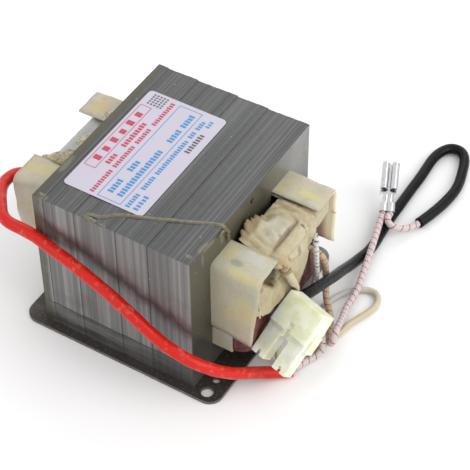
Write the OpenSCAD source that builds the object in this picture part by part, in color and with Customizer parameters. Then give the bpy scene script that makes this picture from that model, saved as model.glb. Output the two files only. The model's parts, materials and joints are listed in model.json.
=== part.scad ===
// High voltage transformer of a microwave oven, lying on its base plate.
// Millimetres. Origin under the middle of the core, on the table.
// X runs along the lamination stack towards the end with most leads.
// Y runs across the laminations, the front face is at minus Y. Z is up.

/* [Core] */
// thickness of the lamination stack, along X
stack_l = 72; // [60:1:84]
// width of the centre leg, along Y
centre_leg_w = 30; // [26:0.5:34]
// width of each winding window, along Y
window_w = 15.3; // [13:0.1:18]
// width of each outer leg, along Y
outer_leg_w = 14.7; // [11:0.1:18]
// height of the yoke above the windows
yoke_h = 13.2; // [11:0.1:16]
// height of the closing bar under the windows
bar_h = 12.1; // [10:0.1:15]
// number of lamination packets along the stack
packet_n = 15; // [5:1:20]
// largest set-back of a packet's edge
packet_step = 0.25; // [0.05:0.05:0.5]
// diameter of the hole through the yoke
yoke_hole_d = 2.8; // [2:0.1:4]
// depth of that hole's axis below the top
yoke_hole_drop = 4.5; // [3:0.1:7]

/* [Base plate] */
// thickness of the base plate
plate_t = 1.5; // [1:0.1:2.5]
// length of the base plate, along X
plate_l = 93.8; // [90:0.2:110]
// width of the base plate, along Y
plate_w = 97.6; // [96:0.2:112]
// shift of the plate towards the lead end
plate_shift = 1.3; // [0:0.1:3]
// corner radius of the plate
plate_r = 6; // [2:0.5:10]
// diameter of the two mounting holes
fix_hole_d = 5.2; // [4:0.1:6.2]
// mounting hole axis to the plate's end edge
fix_edge_x = 6.4; // [5:0.1:8]
// mounting hole axis to the plate's side edge
fix_edge_y = 4.7; // [4.2:0.1:6]
// diameter of the two small locating holes
pilot_hole_d = 3; // [2:0.1:3.4]
// distance from a mounting hole to its locating hole
pilot_pitch = 7; // [6:0.1:9]

/* [Windings] */
// thickness of the insulating sheets in the windows
liner_t = 0.7; // [0.4:0.1:1.2]
// gap between the centre leg and the windings
leg_gap = 1; // [0.6:0.1:1.4]
// gap between the stack's end and the secondary's end turns
end_gap = 3.4; // [1:0.1:5]
// height of the primary winding
primary_h = 16.7; // [14:0.1:18]
// how far the primary's end turns stand out of the core
primary_out = 16.5; // [14:0.5:18]
// outer corner radius of the primary
primary_r = 7; // [4:0.5:10]
// number of wire layers seen as ridges on the primary
turn_n = 11; // [7:1:14]
// depth of the groove between two ridges
ridge_d = 0.4; // [0.1:0.1:0.6]
// height of the shunts and of the heater winding's level
shunt_h = 3; // [3:0.1:4]
// height of the secondary with its wrap
secondary_h = 24.9; // [20:0.1:25.2]
// thickness of the wrap round the secondary
wrap_t = 0.8; // [0.4:0.1:1.2]
// how far the wrapped secondary stands out of the core
secondary_out = 16.3; // [14:0.1:17]
// outer corner radius of the wrapped secondary
secondary_r = 10; // [6:0.5:13]
// diameter of the heater winding's braided lead
heater_d = 2.9; // [2.2:0.1:2.9]

/* [Insulation] */
// how far the secondary's sheets stand out of the core
liner_out = 21.3; // [20.5:0.1:24]
// bend radius of the sheets' folded edge
fold_r = 2; // [1.2:0.1:3]
// depth of the side fold of the secondary's sheets
liner_fold_h = 33.8; // [30:0.1:34.5]
// how far the primary's sheets stand out of the core
foot_out = 9; // [6:0.5:12]
// height of the side fold of the primary's sheets
foot_fold_h = 10.8; // [8:0.1:12]
// how far the cloth over the leads stands out of the core
cover_out = 20.8; // [18.5:0.1:22]
// how far that cloth hangs below the secondary
cover_drop = 4.5; // [2:0.1:8]
// corner radius of that cloth
cover_r = 6; // [3:0.5:10]
// thickness of its part below the secondary
cover_t = 1.6; // [1:0.1:3]
// height of the cloth above the wrapped secondary
cloth_h = 1.3; // [0.8:0.1:1.6]
// how high the torn edge of the cloth stands up
cloth_rise = 5; // [3:0.5:9]
// place of that edge's highest point, along Y
cloth_peak = -6.5; // [-10:0.5:10]

/* [Label and varnish] */
// length of the label, along Y
label_l = 62.7; // [50:0.1:70]
// width of the label, along X
label_w = 37; // [30:0.1:44]
// thickness of the label
label_t = 0.2; // [0.1:0.05:0.4]
// corner radius of the label
label_r = 2; // [0.5:0.1:4]
// label's far edge to the core's far end
label_in = 6; // [3:0.1:16]
// shift of the label towards the front
label_shift = 1.8; // [0:0.1:8]
// width of the varnish bead on the core
bead_d = 2; // [1.4:0.1:2.6]

/* [Leads] */
// diameter of the red sleeve
red_d = 5.1; // [4:0.1:5.4]
// diameter of the black sleeve
black_d = 4.7; // [4:0.1:5]
// diameter of the braided leads
braid_d = 2.9; // [2:0.1:3]
// diameter of the silicone lead
white_d = 2.6; // [2:0.1:2.8]
// diameter of the cream sleeve on that lead
cream_d = 3.4; // [3:0.1:3.6]
// thickness of the string that ties the cream sleeve
tie_d = 0.6; // [0.4:0.1:0.9]

/* [Terminal and connector] */
// width of the push-on terminal
blade_w = 7.6; // [6.5:0.1:8.5]
// length of the terminal's rolled part
blade_l = 12.6; // [10:0.1:14]
// sheet thickness of the terminal
blade_t = 0.6; // [0.4:0.05:0.8]
// width of the connector housing
housing_w = 19; // [17:0.1:21]
// length of the connector housing with its sleeves
housing_l = 29.2; // [27:0.1:31]
// thickness of the connector housing
housing_t = 9.5; // [9:0.1:11]
// length of each of its two sleeves
sleeve_l = 12; // [9:0.1:14]
// width of each sleeve
sleeve_w = 6.7; // [6:0.1:7.2]
// wall thickness of the housing
housing_wall = 0.9; // [0.7:0.05:1.2]

/* [Hidden] */
steel = [0.36, 0.36, 0.38];
copper = [0.36, 0.08, 0.06];
paper = [0.86, 0.82, 0.70];
cloth = [0.80, 0.74, 0.60];
cut = 0.5;

// heights of the stack of parts, from the table up
bar_z = plate_t;
window_z = bar_z + bar_h;
primary_z = window_z + liner_t;
shunt_z = primary_z + primary_h;
secondary_z = shunt_z + shunt_h;
secondary_top = secondary_z + secondary_h;
sheet_gap = 0.7;
window_top = secondary_top + sheet_gap + liner_t;
core_top = window_top + yoke_h;

// half widths of the core
centre_y = centre_leg_w / 2;
window_y = centre_y + window_w;
core_y = window_y + outer_leg_w;
core_x = stack_l / 2;
coil_y = window_y - liner_t;
inner_y = centre_y + leg_gap;
inner_x = core_x + leg_gap;
// bend of the heater's turns at the leg's corners
heater_r = 3.2;
// step in the secondary's top edge that clears the folds of the sheets
fold_in = fold_r - liner_t;
edge_h = max(0.3, fold_in - sheet_gap);
edge_in = fold_in - sqrt(fold_in * fold_in - edge_h * edge_h) + 0.05;
// space between the label and the varnish bead, and how far behind the label's corner its middle may pass
bead_gap = 0.1;
bead_room = 0.12;
packet_l = stack_l / packet_n;

// set-back of one packet: the end packets keep the full outline
function set_back(i) = (i == 0 || i == packet_n - 1) ? 0 : packet_step * ((i * 5) % 7) / 6;

// plan of a coil: half sizes along X and Y, and the corner radius
module coil_plan(x, y, r) {
    square([2 * x - 2 * r, 2 * y], center = true);
    square([2 * x, 2 * y - 2 * r], center = true);
    for (sx = [-1, 1])
        for (sy = [-1, 1])
            translate([sx * (x - r), sy * (y - r)])
                circle(r = r, $fn = 48);
}

module rounded_plan(l, w, r) {
    coil_plan(l / 2, w / 2, r);
}

// one packet's outline in Y and Z, and its extrusion along X
module stand(l) {
    rotate([90, 0, 90])
        linear_extrude(height = l)
            children();
}

module base_plate() {
    color([0.28, 0.26, 0.25])
        difference() {
            translate([plate_shift, 0, 0])
                linear_extrude(height = plate_t)
                    rounded_plan(plate_l, plate_w, plate_r);
            for (s = [-1, 1]) {
                translate([plate_shift + plate_l / 2 - fix_edge_x, s * (plate_w / 2 - fix_edge_y), -cut])
                    cylinder(d = fix_hole_d, h = plate_t + 2 * cut, $fn = 32);
                translate([plate_shift + plate_l / 2 - fix_edge_x, s * (plate_w / 2 - fix_edge_y - pilot_pitch), -cut])
                    cylinder(d = pilot_hole_d, h = plate_t + 2 * cut, $fn = 32);
            }
        }
}

module closing_bar() {
    color(steel)
        for (i = [0:packet_n - 1])
            translate([-core_x + i * packet_l, 0, bar_z])
                stand(packet_l)
                    translate([-core_y + set_back(i), 0])
                        square([2 * core_y - 2 * set_back(i), bar_h]);
}

module e_outline(b) {
    difference() {
        translate([-core_y + b, window_z])
            square([2 * core_y - 2 * b, core_top - window_z - b]);
        for (s = [-1, 1])
            translate([s * (centre_y + window_w / 2) - window_w / 2, window_z - cut])
                square([window_w, window_top - window_z + cut]);
    }
}

module e_core() {
    color(steel)
        difference() {
            for (i = [0:packet_n - 1])
                translate([-core_x + i * packet_l, 0, 0])
                    stand(packet_l)
                        e_outline(set_back(i));
            translate([-core_x - cut, 0, core_top - yoke_hole_drop])
                rotate([0, 90, 0])
                    cylinder(d = yoke_hole_d, h = stack_l + 2 * cut, $fn = 24);
        }
}

// outline of the ridged winding from the radius r0 to r1, bottom at height 0
module ridged(r0, r1, h, n) {
    p = h / n;
    crest = [for (i = [0:n - 1]) each [[r1 - ridge_d, i * p], [r1, (i + 0.3) * p], [r1, (i + 0.7) * p]]];
    polygon(concat([[r0, 0]], crest, [[r1 - ridge_d, h], [r0, h]]));
}

module primary_winding() {
    px = core_x + primary_out;
    color(copper)
        translate([0, 0, primary_z])
            union() {
                for (s = [0, 1])
                    mirror([s, 0, 0])
                        translate([0, coil_y - primary_r, 0])
                            rotate([90, 0, 0])
                                linear_extrude(height = 2 * coil_y - 2 * primary_r)
                                    ridged(inner_x, px, primary_h, turn_n);
                for (s = [0, 1])
                    mirror([0, s, 0])
                        translate([-(px - primary_r), 0, 0])
                            rotate([90, 0, 90])
                                linear_extrude(height = 2 * px - 2 * primary_r)
                                    ridged(inner_y, coil_y, primary_h, turn_n);
                for (sx = [0, 1])
                    for (sy = [0, 1])
                        mirror([sx, 0, 0])
                            mirror([0, sy, 0])
                                translate([px - primary_r, coil_y - primary_r, 0])
                                    rotate_extrude(angle = 90, $fn = 32)
                                        ridged(0, primary_r, primary_h, turn_n);
            }
}

// folded sheet in one window: a flat leaf and a leaf against the outer leg
module fold_plan(h, up, r1) {
    y0 = centre_y + 0.3;
    r0 = r1 - liner_t;
    mirror([0, up ? 1 : 0])
        difference() {
            union() {
                translate([y0, -liner_t])
                    square([window_y - r1 - y0, liner_t]);
                translate([window_y - liner_t, -h])
                    square([liner_t, h - r1]);
                translate([window_y - r1, -r1])
                    intersection() {
                        circle(r = r1, $fn = 32);
                        square(r1 + 1);
                    }
            }
            translate([window_y - r1, -r1])
                circle(r = r0, $fn = 32);
        }
}

module primary_liner() {
    color(paper)
        translate([-core_x - foot_out, 0, window_z])
            stand(stack_l + 2 * foot_out)
                fold_plan(foot_fold_h, true, liner_t + 0.2);
}

module primary_liner_front() {
    mirror([0, 1, 0])
        primary_liner();
}

module primary_liner_back() {
    primary_liner();
}

// side view of the secondary's sheet: its free edge runs down towards the ends
module sheet_side(back) {
    x1 = core_x + liner_out;
    z1 = window_top;
    z0 = z1 - liner_fold_h;
    right = back ? [[x1, z1], [x1, z0 + 4], [core_x + 9, z0 + 2.6], [core_x, z0]]
        : [[x1, z1], [x1, z1 - 8], [x1 - 2.9, z0 - 2.8], [core_x, z0]];
    left = [[-core_x, z0], [-x1 + 3, z0 + 2], [-x1, z1 - 10], [-x1, z1]];
    rotate([90, 0, 0])
        translate([0, 0, -window_y - 1])
            linear_extrude(height = window_w + 2)
                polygon(concat(right, left));
}

module slot_liner(back) {
    intersection() {
        translate([-core_x - liner_out, 0, window_top])
            stand(stack_l + 2 * liner_out)
                fold_plan(liner_fold_h + 3, false, fold_r);
        sheet_side(back);
    }
}

module slot_liner_front() {
    x1 = core_x + liner_out;
    flap_t = liner_t - 0.1;
    color(paper)
        union() {
            mirror([0, 1, 0])
                slot_liner(false);
            // corner of the sheet folded over the open end
            translate([x1 - flap_t / 2, 0, 0])
                stand(flap_t)
                    polygon([[-window_y + 1, window_top - 1], [-window_y + 2, window_top - liner_t / 2],
                        [-centre_y - 0.3, window_top - liner_t / 2], [-centre_y - 2, window_top - 2.5],
                        [-window_y + 6.5, window_top - 8], [-window_y + 2, window_top - 14],
                        [-window_y + 0.3, window_top - 18.5], [-window_y + 0.3, window_top - 2]]);
        }
}

module slot_liner_back() {
    color(paper)
        slot_liner(true);
}

// flat steel strips between the two windings, with a gap to the centre leg
module shunt() {
    strip_n = 6;
    y0 = centre_y + 0.5 + 2 * heater_d + 0.3;
    color(steel)
        for (i = [0:strip_n - 1])
            translate([-core_x + 0.2 * (i % 2), y0, shunt_z + i * shunt_h / strip_n])
                cube([stack_l - 0.4 * (i % 2), coil_y - y0 - 0.15 * (i % 2), shunt_h / strip_n]);
}

module shunt_front() {
    mirror([0, 1, 0])
        shunt();
}

module shunt_back() {
    shunt();
}

// one closed turn of round lead, x and y are the half sizes of its centre line
module round_turn(x, y, r, d) {
    for (s = [-1, 1]) {
        translate([-(x - r), s * y, 0])
            rotate([0, 90, 0])
                cylinder(d = d, h = 2 * (x - r), $fn = 16);
        translate([s * x, y - r, 0])
            rotate([90, 0, 0])
                cylinder(d = d, h = 2 * (y - r), $fn = 16);
    }
    for (sx = [0, 1])
        for (sy = [0, 1])
            mirror([sx, 0, 0])
                mirror([0, sy, 0])
                    translate([x - r, y - r, 0])
                        rotate_extrude(angle = 90, $fn = 32)
                            translate([r, 0])
                                circle(d = d, $fn = 16);
}

module heater_winding() {
    color([0.80, 0.66, 0.56])
        for (i = [0:1])
            translate([0, 0, shunt_z + shunt_h / 2])
                round_turn(core_x + 0.5 + (i + 0.5) * (heater_d + 0.05), centre_y + 0.5 + (i + 0.5) * (heater_d + 0.05),
                    heater_r + i * heater_d, heater_d);
}

module secondary_winding() {
    sx = core_x + secondary_out - wrap_t;
    color([0.55, 0.30, 0.16])
        translate([0, 0, secondary_z + wrap_t])
            linear_extrude(height = secondary_h - 2 * wrap_t)
                difference() {
                    coil_plan(sx, coil_y - wrap_t, secondary_r - wrap_t);
                    square([2 * (core_x + end_gap), 2 * inner_y], center = true);
                }
}

module secondary_wrap() {
    sx = core_x + secondary_out;
    color(cloth)
        difference() {
            translate([0, 0, secondary_z])
                linear_extrude(height = secondary_h)
                    difference() {
                        coil_plan(sx, coil_y, secondary_r);
                        square([2 * (core_x + end_gap), 2 * inner_y], center = true);
                    }
            translate([0, 0, secondary_z + wrap_t])
                linear_extrude(height = secondary_h - 2 * wrap_t)
                    difference() {
                        coil_plan(sx - wrap_t, coil_y - wrap_t, secondary_r - wrap_t);
                        square([2 * (core_x + end_gap), 2 * inner_y], center = true);
                    }
            // top edge pressed in by the folds of the sheets
            translate([0, 0, secondary_top - edge_h])
                linear_extrude(height = edge_h + cut)
                    difference() {
                        square([2 * sx + 2 * cut, 2 * coil_y + 2 * cut], center = true);
                        coil_plan(sx - edge_in, coil_y - edge_in, secondary_r - edge_in);
                    }
        }
}

// cloth wrapped over the joints of the leads, at the lead end of the coil
module lead_cover() {
    cx = core_x + cover_out;
    sx = core_x + secondary_out;
    y1 = coil_y - 0.3;
    z0 = secondary_z;
    // lower edge of the cloth, from the front to the back
    hem = [[-y1, z0 + 6], [-y1 * 0.75, z0 + 2.5], [-centre_y + 0.5, z0 + 0.5], [-9, z0 + 1], [-4, z0 - cover_drop * 0.67],
        [2, z0 - cover_drop], [4, z0 - 1], [7, z0 + 1], [8.6, z0 + 4], [9.4, z0 + 10], [10.4, z0 + 15],
        [centre_y - 2, z0 + 16.5], [centre_y + 4, z0 + 17], [y1, z0 + 19]];
    color(cloth)
        intersection() {
            difference() {
                translate([0, 0, z0 - cover_drop - cut])
                    linear_extrude(height = secondary_h + cover_drop + cut)
                        coil_plan(cx, y1, cover_r);
                translate([0, 0, z0])
                    linear_extrude(height = secondary_h + cut)
                        coil_plan(sx, coil_y, secondary_r);
                translate([0, 0, z0 - cover_drop - 2 * cut])
                    linear_extrude(height = cover_drop + 2 * cut)
                        coil_plan(cx - cover_t, coil_y + 1, cover_r - cover_t);
            }
            translate([sx - secondary_r, 0, 0])
                stand(secondary_r + cover_out)
                    polygon(concat([[-y1, secondary_top]], hem, [[y1, secondary_top]]));
        }
}

// rumpled cloth on the end turns between the sheets, with a torn edge beside the yoke
cloth_nx = 10;
cloth_ny = 14;
cloth_y0 = -centre_y + 0.5;
cloth_y1 = centre_y - 0.3;

function cloth_x(i) = core_x + end_gap + (cover_out - end_gap - 0.3) * pow(i / cloth_nx, 1.15);
function cloth_y(j) = cloth_y0 + (cloth_y1 - cloth_y0) * j / cloth_ny;
function torn(y) = cloth_rise * max(0, 1 - pow((y - cloth_peak) / 11, 2)) * (0.84 + 0.16 * sin(y * 140));
function cloth_z(x, y) = cloth_h * (0.75 + 0.12 * sin(x * 31 + y * 23) + 0.13 * sin(y * 47 - x * 12))
    + torn(y) * exp(-(x - core_x - end_gap) / 1.6)
    - 0.4 * max(0, x - core_x - cover_out + 3) / 3;

module cloth_flap() {
    z0 = secondary_top;
    top = [for (i = [0:cloth_nx]) for (j = [0:cloth_ny]) [cloth_x(i), cloth_y(j), z0 + cloth_z(cloth_x(i), cloth_y(j))]];
    low = [for (i = [0:cloth_nx]) for (j = [0:cloth_ny]) [cloth_x(i), cloth_y(j), z0]];
    row = cloth_ny + 1;
    all = (cloth_nx + 1) * row;
    up = [for (i = [0:cloth_nx - 1]) for (j = [0:cloth_ny - 1]) each
        [[i * row + j, i * row + j + 1, (i + 1) * row + j + 1], [i * row + j, (i + 1) * row + j + 1, (i + 1) * row + j]]];
    down = [for (f = up) [f[2] + all, f[1] + all, f[0] + all]];
    rim = concat([for (j = [0:cloth_ny]) j], [for (i = [1:cloth_nx]) i * row + cloth_ny],
        [for (j = [1:cloth_ny]) cloth_nx * row + cloth_ny - j], [for (i = [1:cloth_nx - 1]) (cloth_nx - i) * row]);
    n = len(rim);
    wall = [for (k = [0:n - 1]) each
        [[rim[k], rim[k] + all, rim[(k + 1) % n]], [rim[(k + 1) % n], rim[k] + all, rim[(k + 1) % n] + all]]];
    color(cloth)
        polyhedron(points = concat(top, low), faces = concat(up, down, wall));
}

// outline of the label, with a gap all round
module label_plan(gap) {
    translate([label_in - core_x + label_w / 2, -label_shift])
        rounded_plan(label_w + 2 * gap, label_l + 2 * gap, label_r + gap);
}

module label() {
    color([0.92, 0.92, 0.98])
        translate([0, 0, core_top])
            linear_extrude(height = label_t)
                label_plan(0);
}

// sweep of a round tube along a list of points
function unit(v) = v / norm(v);
function tangent(p, i) = unit(p[min(i + 1, len(p) - 1)] - p[max(i - 1, 0)]);
function square_to(u, t) = unit(u - t * (u * t));
function side_of(t) = abs(t[2]) < 0.8 ? [0, 0, 1] : [1, 0, 0];
function frames(p) = [for (i = 0, u = square_to(side_of(tangent(p, 0)), tangent(p, 0)); i < len(p);
    i = i + 1, u = i < len(p) ? square_to(u, tangent(p, i)) : u) [tangent(p, i), u]];
function ring(c, f, r, n) = [for (k = [0:n - 1])
    c + r * cos(k * 360 / n) * f[1] + r * sin(k * 360 / n) * cross(f[0], f[1])];

module tube(p, d, n) {
    f = frames(p);
    m = len(p);
    r = d / 2;
    points = [for (i = [0:m - 1]) each ring(p[i], f[i], r, n)];
    sides = [for (i = [0:m - 2]) for (k = [0:n - 1]) each
        [[i * n + k, (i + 1) * n + k, (i + 1) * n + (k + 1) % n], [i * n + k, (i + 1) * n + (k + 1) % n, i * n + (k + 1) % n]]];
    first = [for (k = [0:n - 1]) k];
    last = [for (k = [0:n - 1]) m * n - 1 - k];
    polyhedron(points = points, faces = concat(sides, [first], [last]));
}

// varnish bead: half sunk tube with the core's block cut away
// each point: inward from the lead end's edge, inward from the front edge, down from the top
bead_in = [[48.8, 0.5, 0], [46.8, 3, 0], [42.7, 3.8, 0], [38.4, 7.7, 0], [31.5, 10.9, 0], [22.6, 14.7, 0], [12, 19.3, 0],
    [6.8, 21.8, 0], [3.3, 23.3, 0], [0.6, 24.1, 0], [-0.2, 24.9, 1.5], [-0.2, 26.8, 5], [-0.2, 28.7, 8.5]];

// the bead runs past the near front corner of the label, at most bead_room behind it
corner_in = [2 * core_x - label_in - label_w, core_y - label_shift - label_l / 2];
bead_at = [for (i = [1:len(bead_in) - 1]) let (a = bead_in[i - 1], b = bead_in[i])
    if (b[0] < corner_in[0] && corner_in[0] <= a[0]) a[1] + (b[1] - a[1]) * (a[0] - corner_in[0]) / (a[0] - b[0])];
bead_lean = min(1, (corner_in[1] + bead_room) / max(corner_in[1], bead_at[0]));

module varnish_bead() {
    p = [for (q = bead_in) [core_x - q[0], q[1] * bead_lean - core_y, core_top - 0.2 - q[2]]];
    color([0.62, 0.58, 0.42])
        difference() {
            tube(p, bead_d, 8);
            translate([-core_x, -core_y, window_top])
                cube([2 * core_x, 2 * core_y, yoke_h]);
            // it has run round the label's corner
            translate([0, 0, core_top - cut])
                linear_extrude(height = bead_d + cut)
                    label_plan(bead_gap);
        }
}

// routes of the leads, chosen by hand from the photograph
cream_route = [[59, -14.6, 57.4], [59.1, -13.2, 54.6], [59.1, -10.8, 49.8], [59.1, -8.4, 44.8], [59, -6.2, 40.4]];
white_route = [[58.9, -5.8, 39.7], [58.4, -3.8, 36.8], [58.2, -2.4, 33.6], [57.9, -2.7, 30.8], [56.6, -4, 27.4],
    [55.6, -5, 23], [55, -6.2, 17.5], [55, -8.4, 12.2], [55.6, -11.4, 7.6], [56.9, -14.2, 3.8], [59.4, -15.8, 1.8],
    [62.2, -14.8, 1.5], [64.2, -11.4, 1.5], [65.6, -7.2, 1.5], [69, 0.4, 1.5], [71.6, 7.8, 1.5], [73.2, 15.8, 1.5],
    [75.6, 22.7, 1.5], [77.5, 28.6, 1.5], [77.2, 34.6, 1.5], [73.6, 37.6, 1.5], [68.3, 35.8, 1.5], [64.1, 31.7, 1.5],
    [60.9, 25.2, 1.5], [59.3, 19, 1.6], [57.4, 15.2, 3], [56.2, 14.5, 6.6], [55.9, 15, 10.5], [56, 16.2, 15],
    [56.5, 17, 19.6], [57.2, 16.1, 25], [57.8, 14.5, 31], [58.2, 13.3, 36.6], [58.5, 12.2, 41.9], [58.6, 11.8, 46.3],
    [58.5, 12, 49.2], [58.2, 11.9, 51]];
heater_route = [[45.2, 19, 32.5], [49, 19.4, 32.5], [53, 20, 32.4], [56.4, 20.6, 30.4], [57.4, 22.2, 25.5],
    [57.4, 23.8, 19], [57.2, 24.6, 13], [58.4, 22.8, 8.2], [61, 19.4, 5.4], [64.4, 15.6, 4.4], [67.4, 11, 4.3],
    [69.9, 6, 4.3], [71.8, 2.5, 4.4], [73.3, 0.6, 5.4], [74.3, -0.1, 7.6], [74.4, 1.1, 10], [73.9, 3.8, 11],
    [72.6, 8.6, 9.2], [70.9, 14.6, 6.2], [69, 21.6, 4.2], [68.4, 30, 4.1], [66.8, 38.2, 4.7], [64.6, 47.3, 5.4],
    [62.4, 56.8, 6.8], [59.8, 66, 6.4], [58, 72.6, 6.3], [57.2, 76, 6.9]];
red_route = [[-52.6, -17, 47], [-58, -16.2, 48], [-63, -18, 49], [-65.6, -23.4, 50], [-63.6, -31, 51.6],
    [-57.2, -40, 54], [-48.4, -47.8, 55.4], [-38, -48, 54.6], [-29, -48, 52], [-17.4, -49.4, 50], [-6.6, -50, 46.4],
    [4.2, -50.4, 41.4], [14.8, -50.8, 35.5], [24.6, -51.2, 30.4], [34, -51.2, 27.4], [42, -49, 23.6],
    [47.6, -43.6, 17.6], [51.4, -36.6, 11.4], [55.4, -29, 6.4], [60.4, -22.8, 3.2], [66, -17.8, 2.6]];
red_tail_route = [[65.8, -17.6, 2.8], [66.7, -13.6, 2.2], [67.8, -10.2, 1.7], [69.5, -6.4, 1.6], [70.6, -3.7, 2.4],
    [70.9, -1.9, 4.4], [70.3, -0.9, 6.8], [69.5, -0.8, 9.4], [69.2, -1.4, 12.6], [69.6, -2.4, 17], [70.9, -4.4, 22],
    [72.6, -7.2, 26.8]];
black_route = [[59.3, -1.1, 26.9], [59.7, -0.3, 27], [60.2, 1, 27], [60.6, 3.2, 26.3], [60.9, 6.5, 25],
    [61, 11.7, 22.6], [61, 18.4, 19.4], [60.8, 25.8, 15.4], [60.2, 33, 11.4], [60, 41, 7.2], [60.4, 49.6, 4],
    [61, 59, 2.5], [60, 73, 2.5], [59.6, 86, 2.5], [59.4, 98, 2.5], [59.3, 110, 2.5], [58.8, 120, 2.5],
    [59.8, 127.2, 2.5], [63, 132, 2.5], [67.6, 132.4, 2.5], [71.4, 128.2, 2.5], [73.8, 121.4, 2.5], [75.9, 113, 2.5],
    [76.2, 104, 2.5], [74.6, 93, 2.5], [71.8, 82.4, 2.5]];
black_tail_route = [[71.7, 82.2, 2.5], [69.9, 77.8, 2.8], [67.2, 73.8, 4.3], [63.9, 71.7, 6], [61.1, 73, 7],
    [60.1, 77.2, 7]];
terminal_at = [58.4, 77.1, 6.6];
housing_at = [58.3, -7.4, 37.8];
housing_turn = [-136, 3, -16];

module lead_tie() {
    at = cream_route[0] * 0.4 + cream_route[1] * 0.6;
    color([0.74, 0.66, 0.48])
        for (k = [0, 1])
            translate(at + k * 0.6 * (cream_route[1] - cream_route[0]))
                rotate([27, 0, 0])
                    rotate_extrude($fn = 24)
                        translate([(cream_d + tie_d) / 2, 0])
                            circle(d = tie_d, $fn = 16);
}

module cream_sleeve() {
    color([0.86, 0.82, 0.66])
        tube(cream_route, cream_d, 8);
}

module white_lead() {
    color([0.90, 0.89, 0.86])
        tube(white_route, white_d, 8);
}

module heater_lead() {
    color([0.88, 0.74, 0.70])
        tube(heater_route, braid_d, 8);
}

module red_sleeve() {
    color([0.86, 0.10, 0.06])
        tube(red_route, red_d, 10);
}

module red_tail() {
    color([0.92, 0.76, 0.76])
        tube(red_tail_route, braid_d, 8);
}

module black_sleeve() {
    color([0.08, 0.08, 0.08])
        tube(black_route, black_d, 10);
}

module black_tail() {
    color([0.92, 0.76, 0.76])
        tube(black_tail_route, braid_d, 8);
}

// push-on terminal, lying along its own Y with the crimp at the origin
module spade_terminal() {
    grip_l = 4;
    crimp_l = 4.4;
    neck_l = 3;
    box_y = grip_l + crimp_l + neck_l;
    roll_r = 1.65;
    color([0.80, 0.80, 0.82])
        translate(terminal_at)
            rotate([20, 0, 24])
                union() {
                    for (s = [-1, 1]) {
                        translate([s * 1.55, 0, 0.4])
                            rotate([-90, 0, 0])
                                cylinder(r = 1.9, h = grip_l, $fn = 24);
                        translate([s * 1, grip_l - 0.6, 0])
                            rotate([-90, 0, 0])
                                cylinder(r = 1.35, h = crimp_l + 0.6, $fn = 24);
                    }
                    translate([-1, 0, -1.5])
                        cube([2, grip_l, 1.5]);
                    // neck and flat back of the terminal
                    translate([0, 0, -1.6])
                        linear_extrude(height = blade_t)
                            polygon([[-1.8, 0], [1.8, 0], [1.8, grip_l + crimp_l], [blade_w / 2, box_y],
                                [blade_w / 2, box_y + blade_l - 0.8], [blade_w / 2 - 0.8, box_y + blade_l],
                                [-blade_w / 2 + 0.8, box_y + blade_l], [-blade_w / 2, box_y + blade_l - 0.8],
                                [-blade_w / 2, box_y], [-1.8, grip_l + crimp_l]]);
                    for (s = [0, 1])
                        mirror([s, 0, 0])
                            translate([blade_w / 2 - roll_r, box_y, -1.6 + roll_r])
                                rotate([-90, 0, 0])
                                    linear_extrude(height = blade_l)
                                        difference() {
                                            circle(r = roll_r, $fn = 32);
                                            circle(r = roll_r - blade_t, $fn = 32);
                                            translate([-roll_r - 1, 0])
                                                square([roll_r + 0.6, roll_r - blade_t]);
                                        }
                    // rear slopes of the rolled sides
                    for (s = [0, 1])
                        mirror([s, 0, 0])
                            translate([blade_w / 2 - blade_t, grip_l + crimp_l + 0.8, -1.6])
                                rotate([90, 0, 90])
                                    linear_extrude(height = blade_t)
                                        polygon([[0, 0], [neck_l, 0], [neck_l, 2.2], [neck_l - 0.8, 2]]);
                }
}

// two-way housing, its own X across, Y towards the mating end and Z away from the lid side
module housing_solid() {
    body_l = housing_l - sleeve_l;
    linear_extrude(height = housing_t)
        polygon([[0.5, 0], [housing_w - 0.5, 0], [housing_w, 8], [housing_w, body_l - 3], [0, body_l - 3], [0, 8]]);
    // lower front step with its side ledges
    translate([-1.2, body_l - 8, 3.4])
        cube([housing_w + 2.4, 8, housing_t - 5]);
    translate([0, body_l - 5, 1])
        cube([housing_w, 5, housing_t - 2]);
    for (x = [0.3, housing_w - 0.3 - sleeve_w])
        translate([x, body_l - 1, 0.8])
            cube([sleeve_w, sleeve_l + 1, 6.2]);
}

module connector_housing() {
    body_l = housing_l - sleeve_l;
    color([0.84, 0.88, 0.76])
        translate(housing_at)
            rotate(housing_turn)
                difference() {
                    housing_solid();
                    for (x = [0.3, housing_w - 0.3 - sleeve_w]) {
                        translate([x + housing_wall, body_l - 5, 0.8 + housing_wall])
                            cube([sleeve_w - 2 * housing_wall, sleeve_l + 5 + cut, 6.2 - 2 * housing_wall]);
                        translate([x + sleeve_w / 2 - 0.8, housing_l - 2.4, -cut])
                            cube([1.6, 2.4 + cut, housing_t + 2 * cut]);
                    }
                    // moulded groove between the two ways and the latch window
                    translate([housing_w / 2 - 1.1, body_l - 7, -cut])
                        cube([2.2, 7 - 3 + cut, 1.2 + cut]);
                    translate([housing_w / 2 - 1.1, body_l - 4, -cut])
                        cube([2.2, 4 + cut, 2.4 + cut]);
                }
}

module connector_contacts() {
    body_l = housing_l - sleeve_l;
    cw = sleeve_w - 2 * housing_wall - 0.4;
    ch = 6.2 - 2 * housing_wall - 0.4;
    color([0.78, 0.76, 0.68])
        translate(housing_at)
            rotate(housing_turn)
                for (x = [0.3, housing_w - 0.3 - sleeve_w])
                    translate([x + housing_wall + 0.2, body_l - 5, 0.8 + housing_wall + 0.2])
                        difference() {
                            cube([cw, 12, ch]);
                            translate([0.5, 1, 0.5])
                                cube([cw - 1, 12, ch - 1]);
                        }
}

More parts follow.
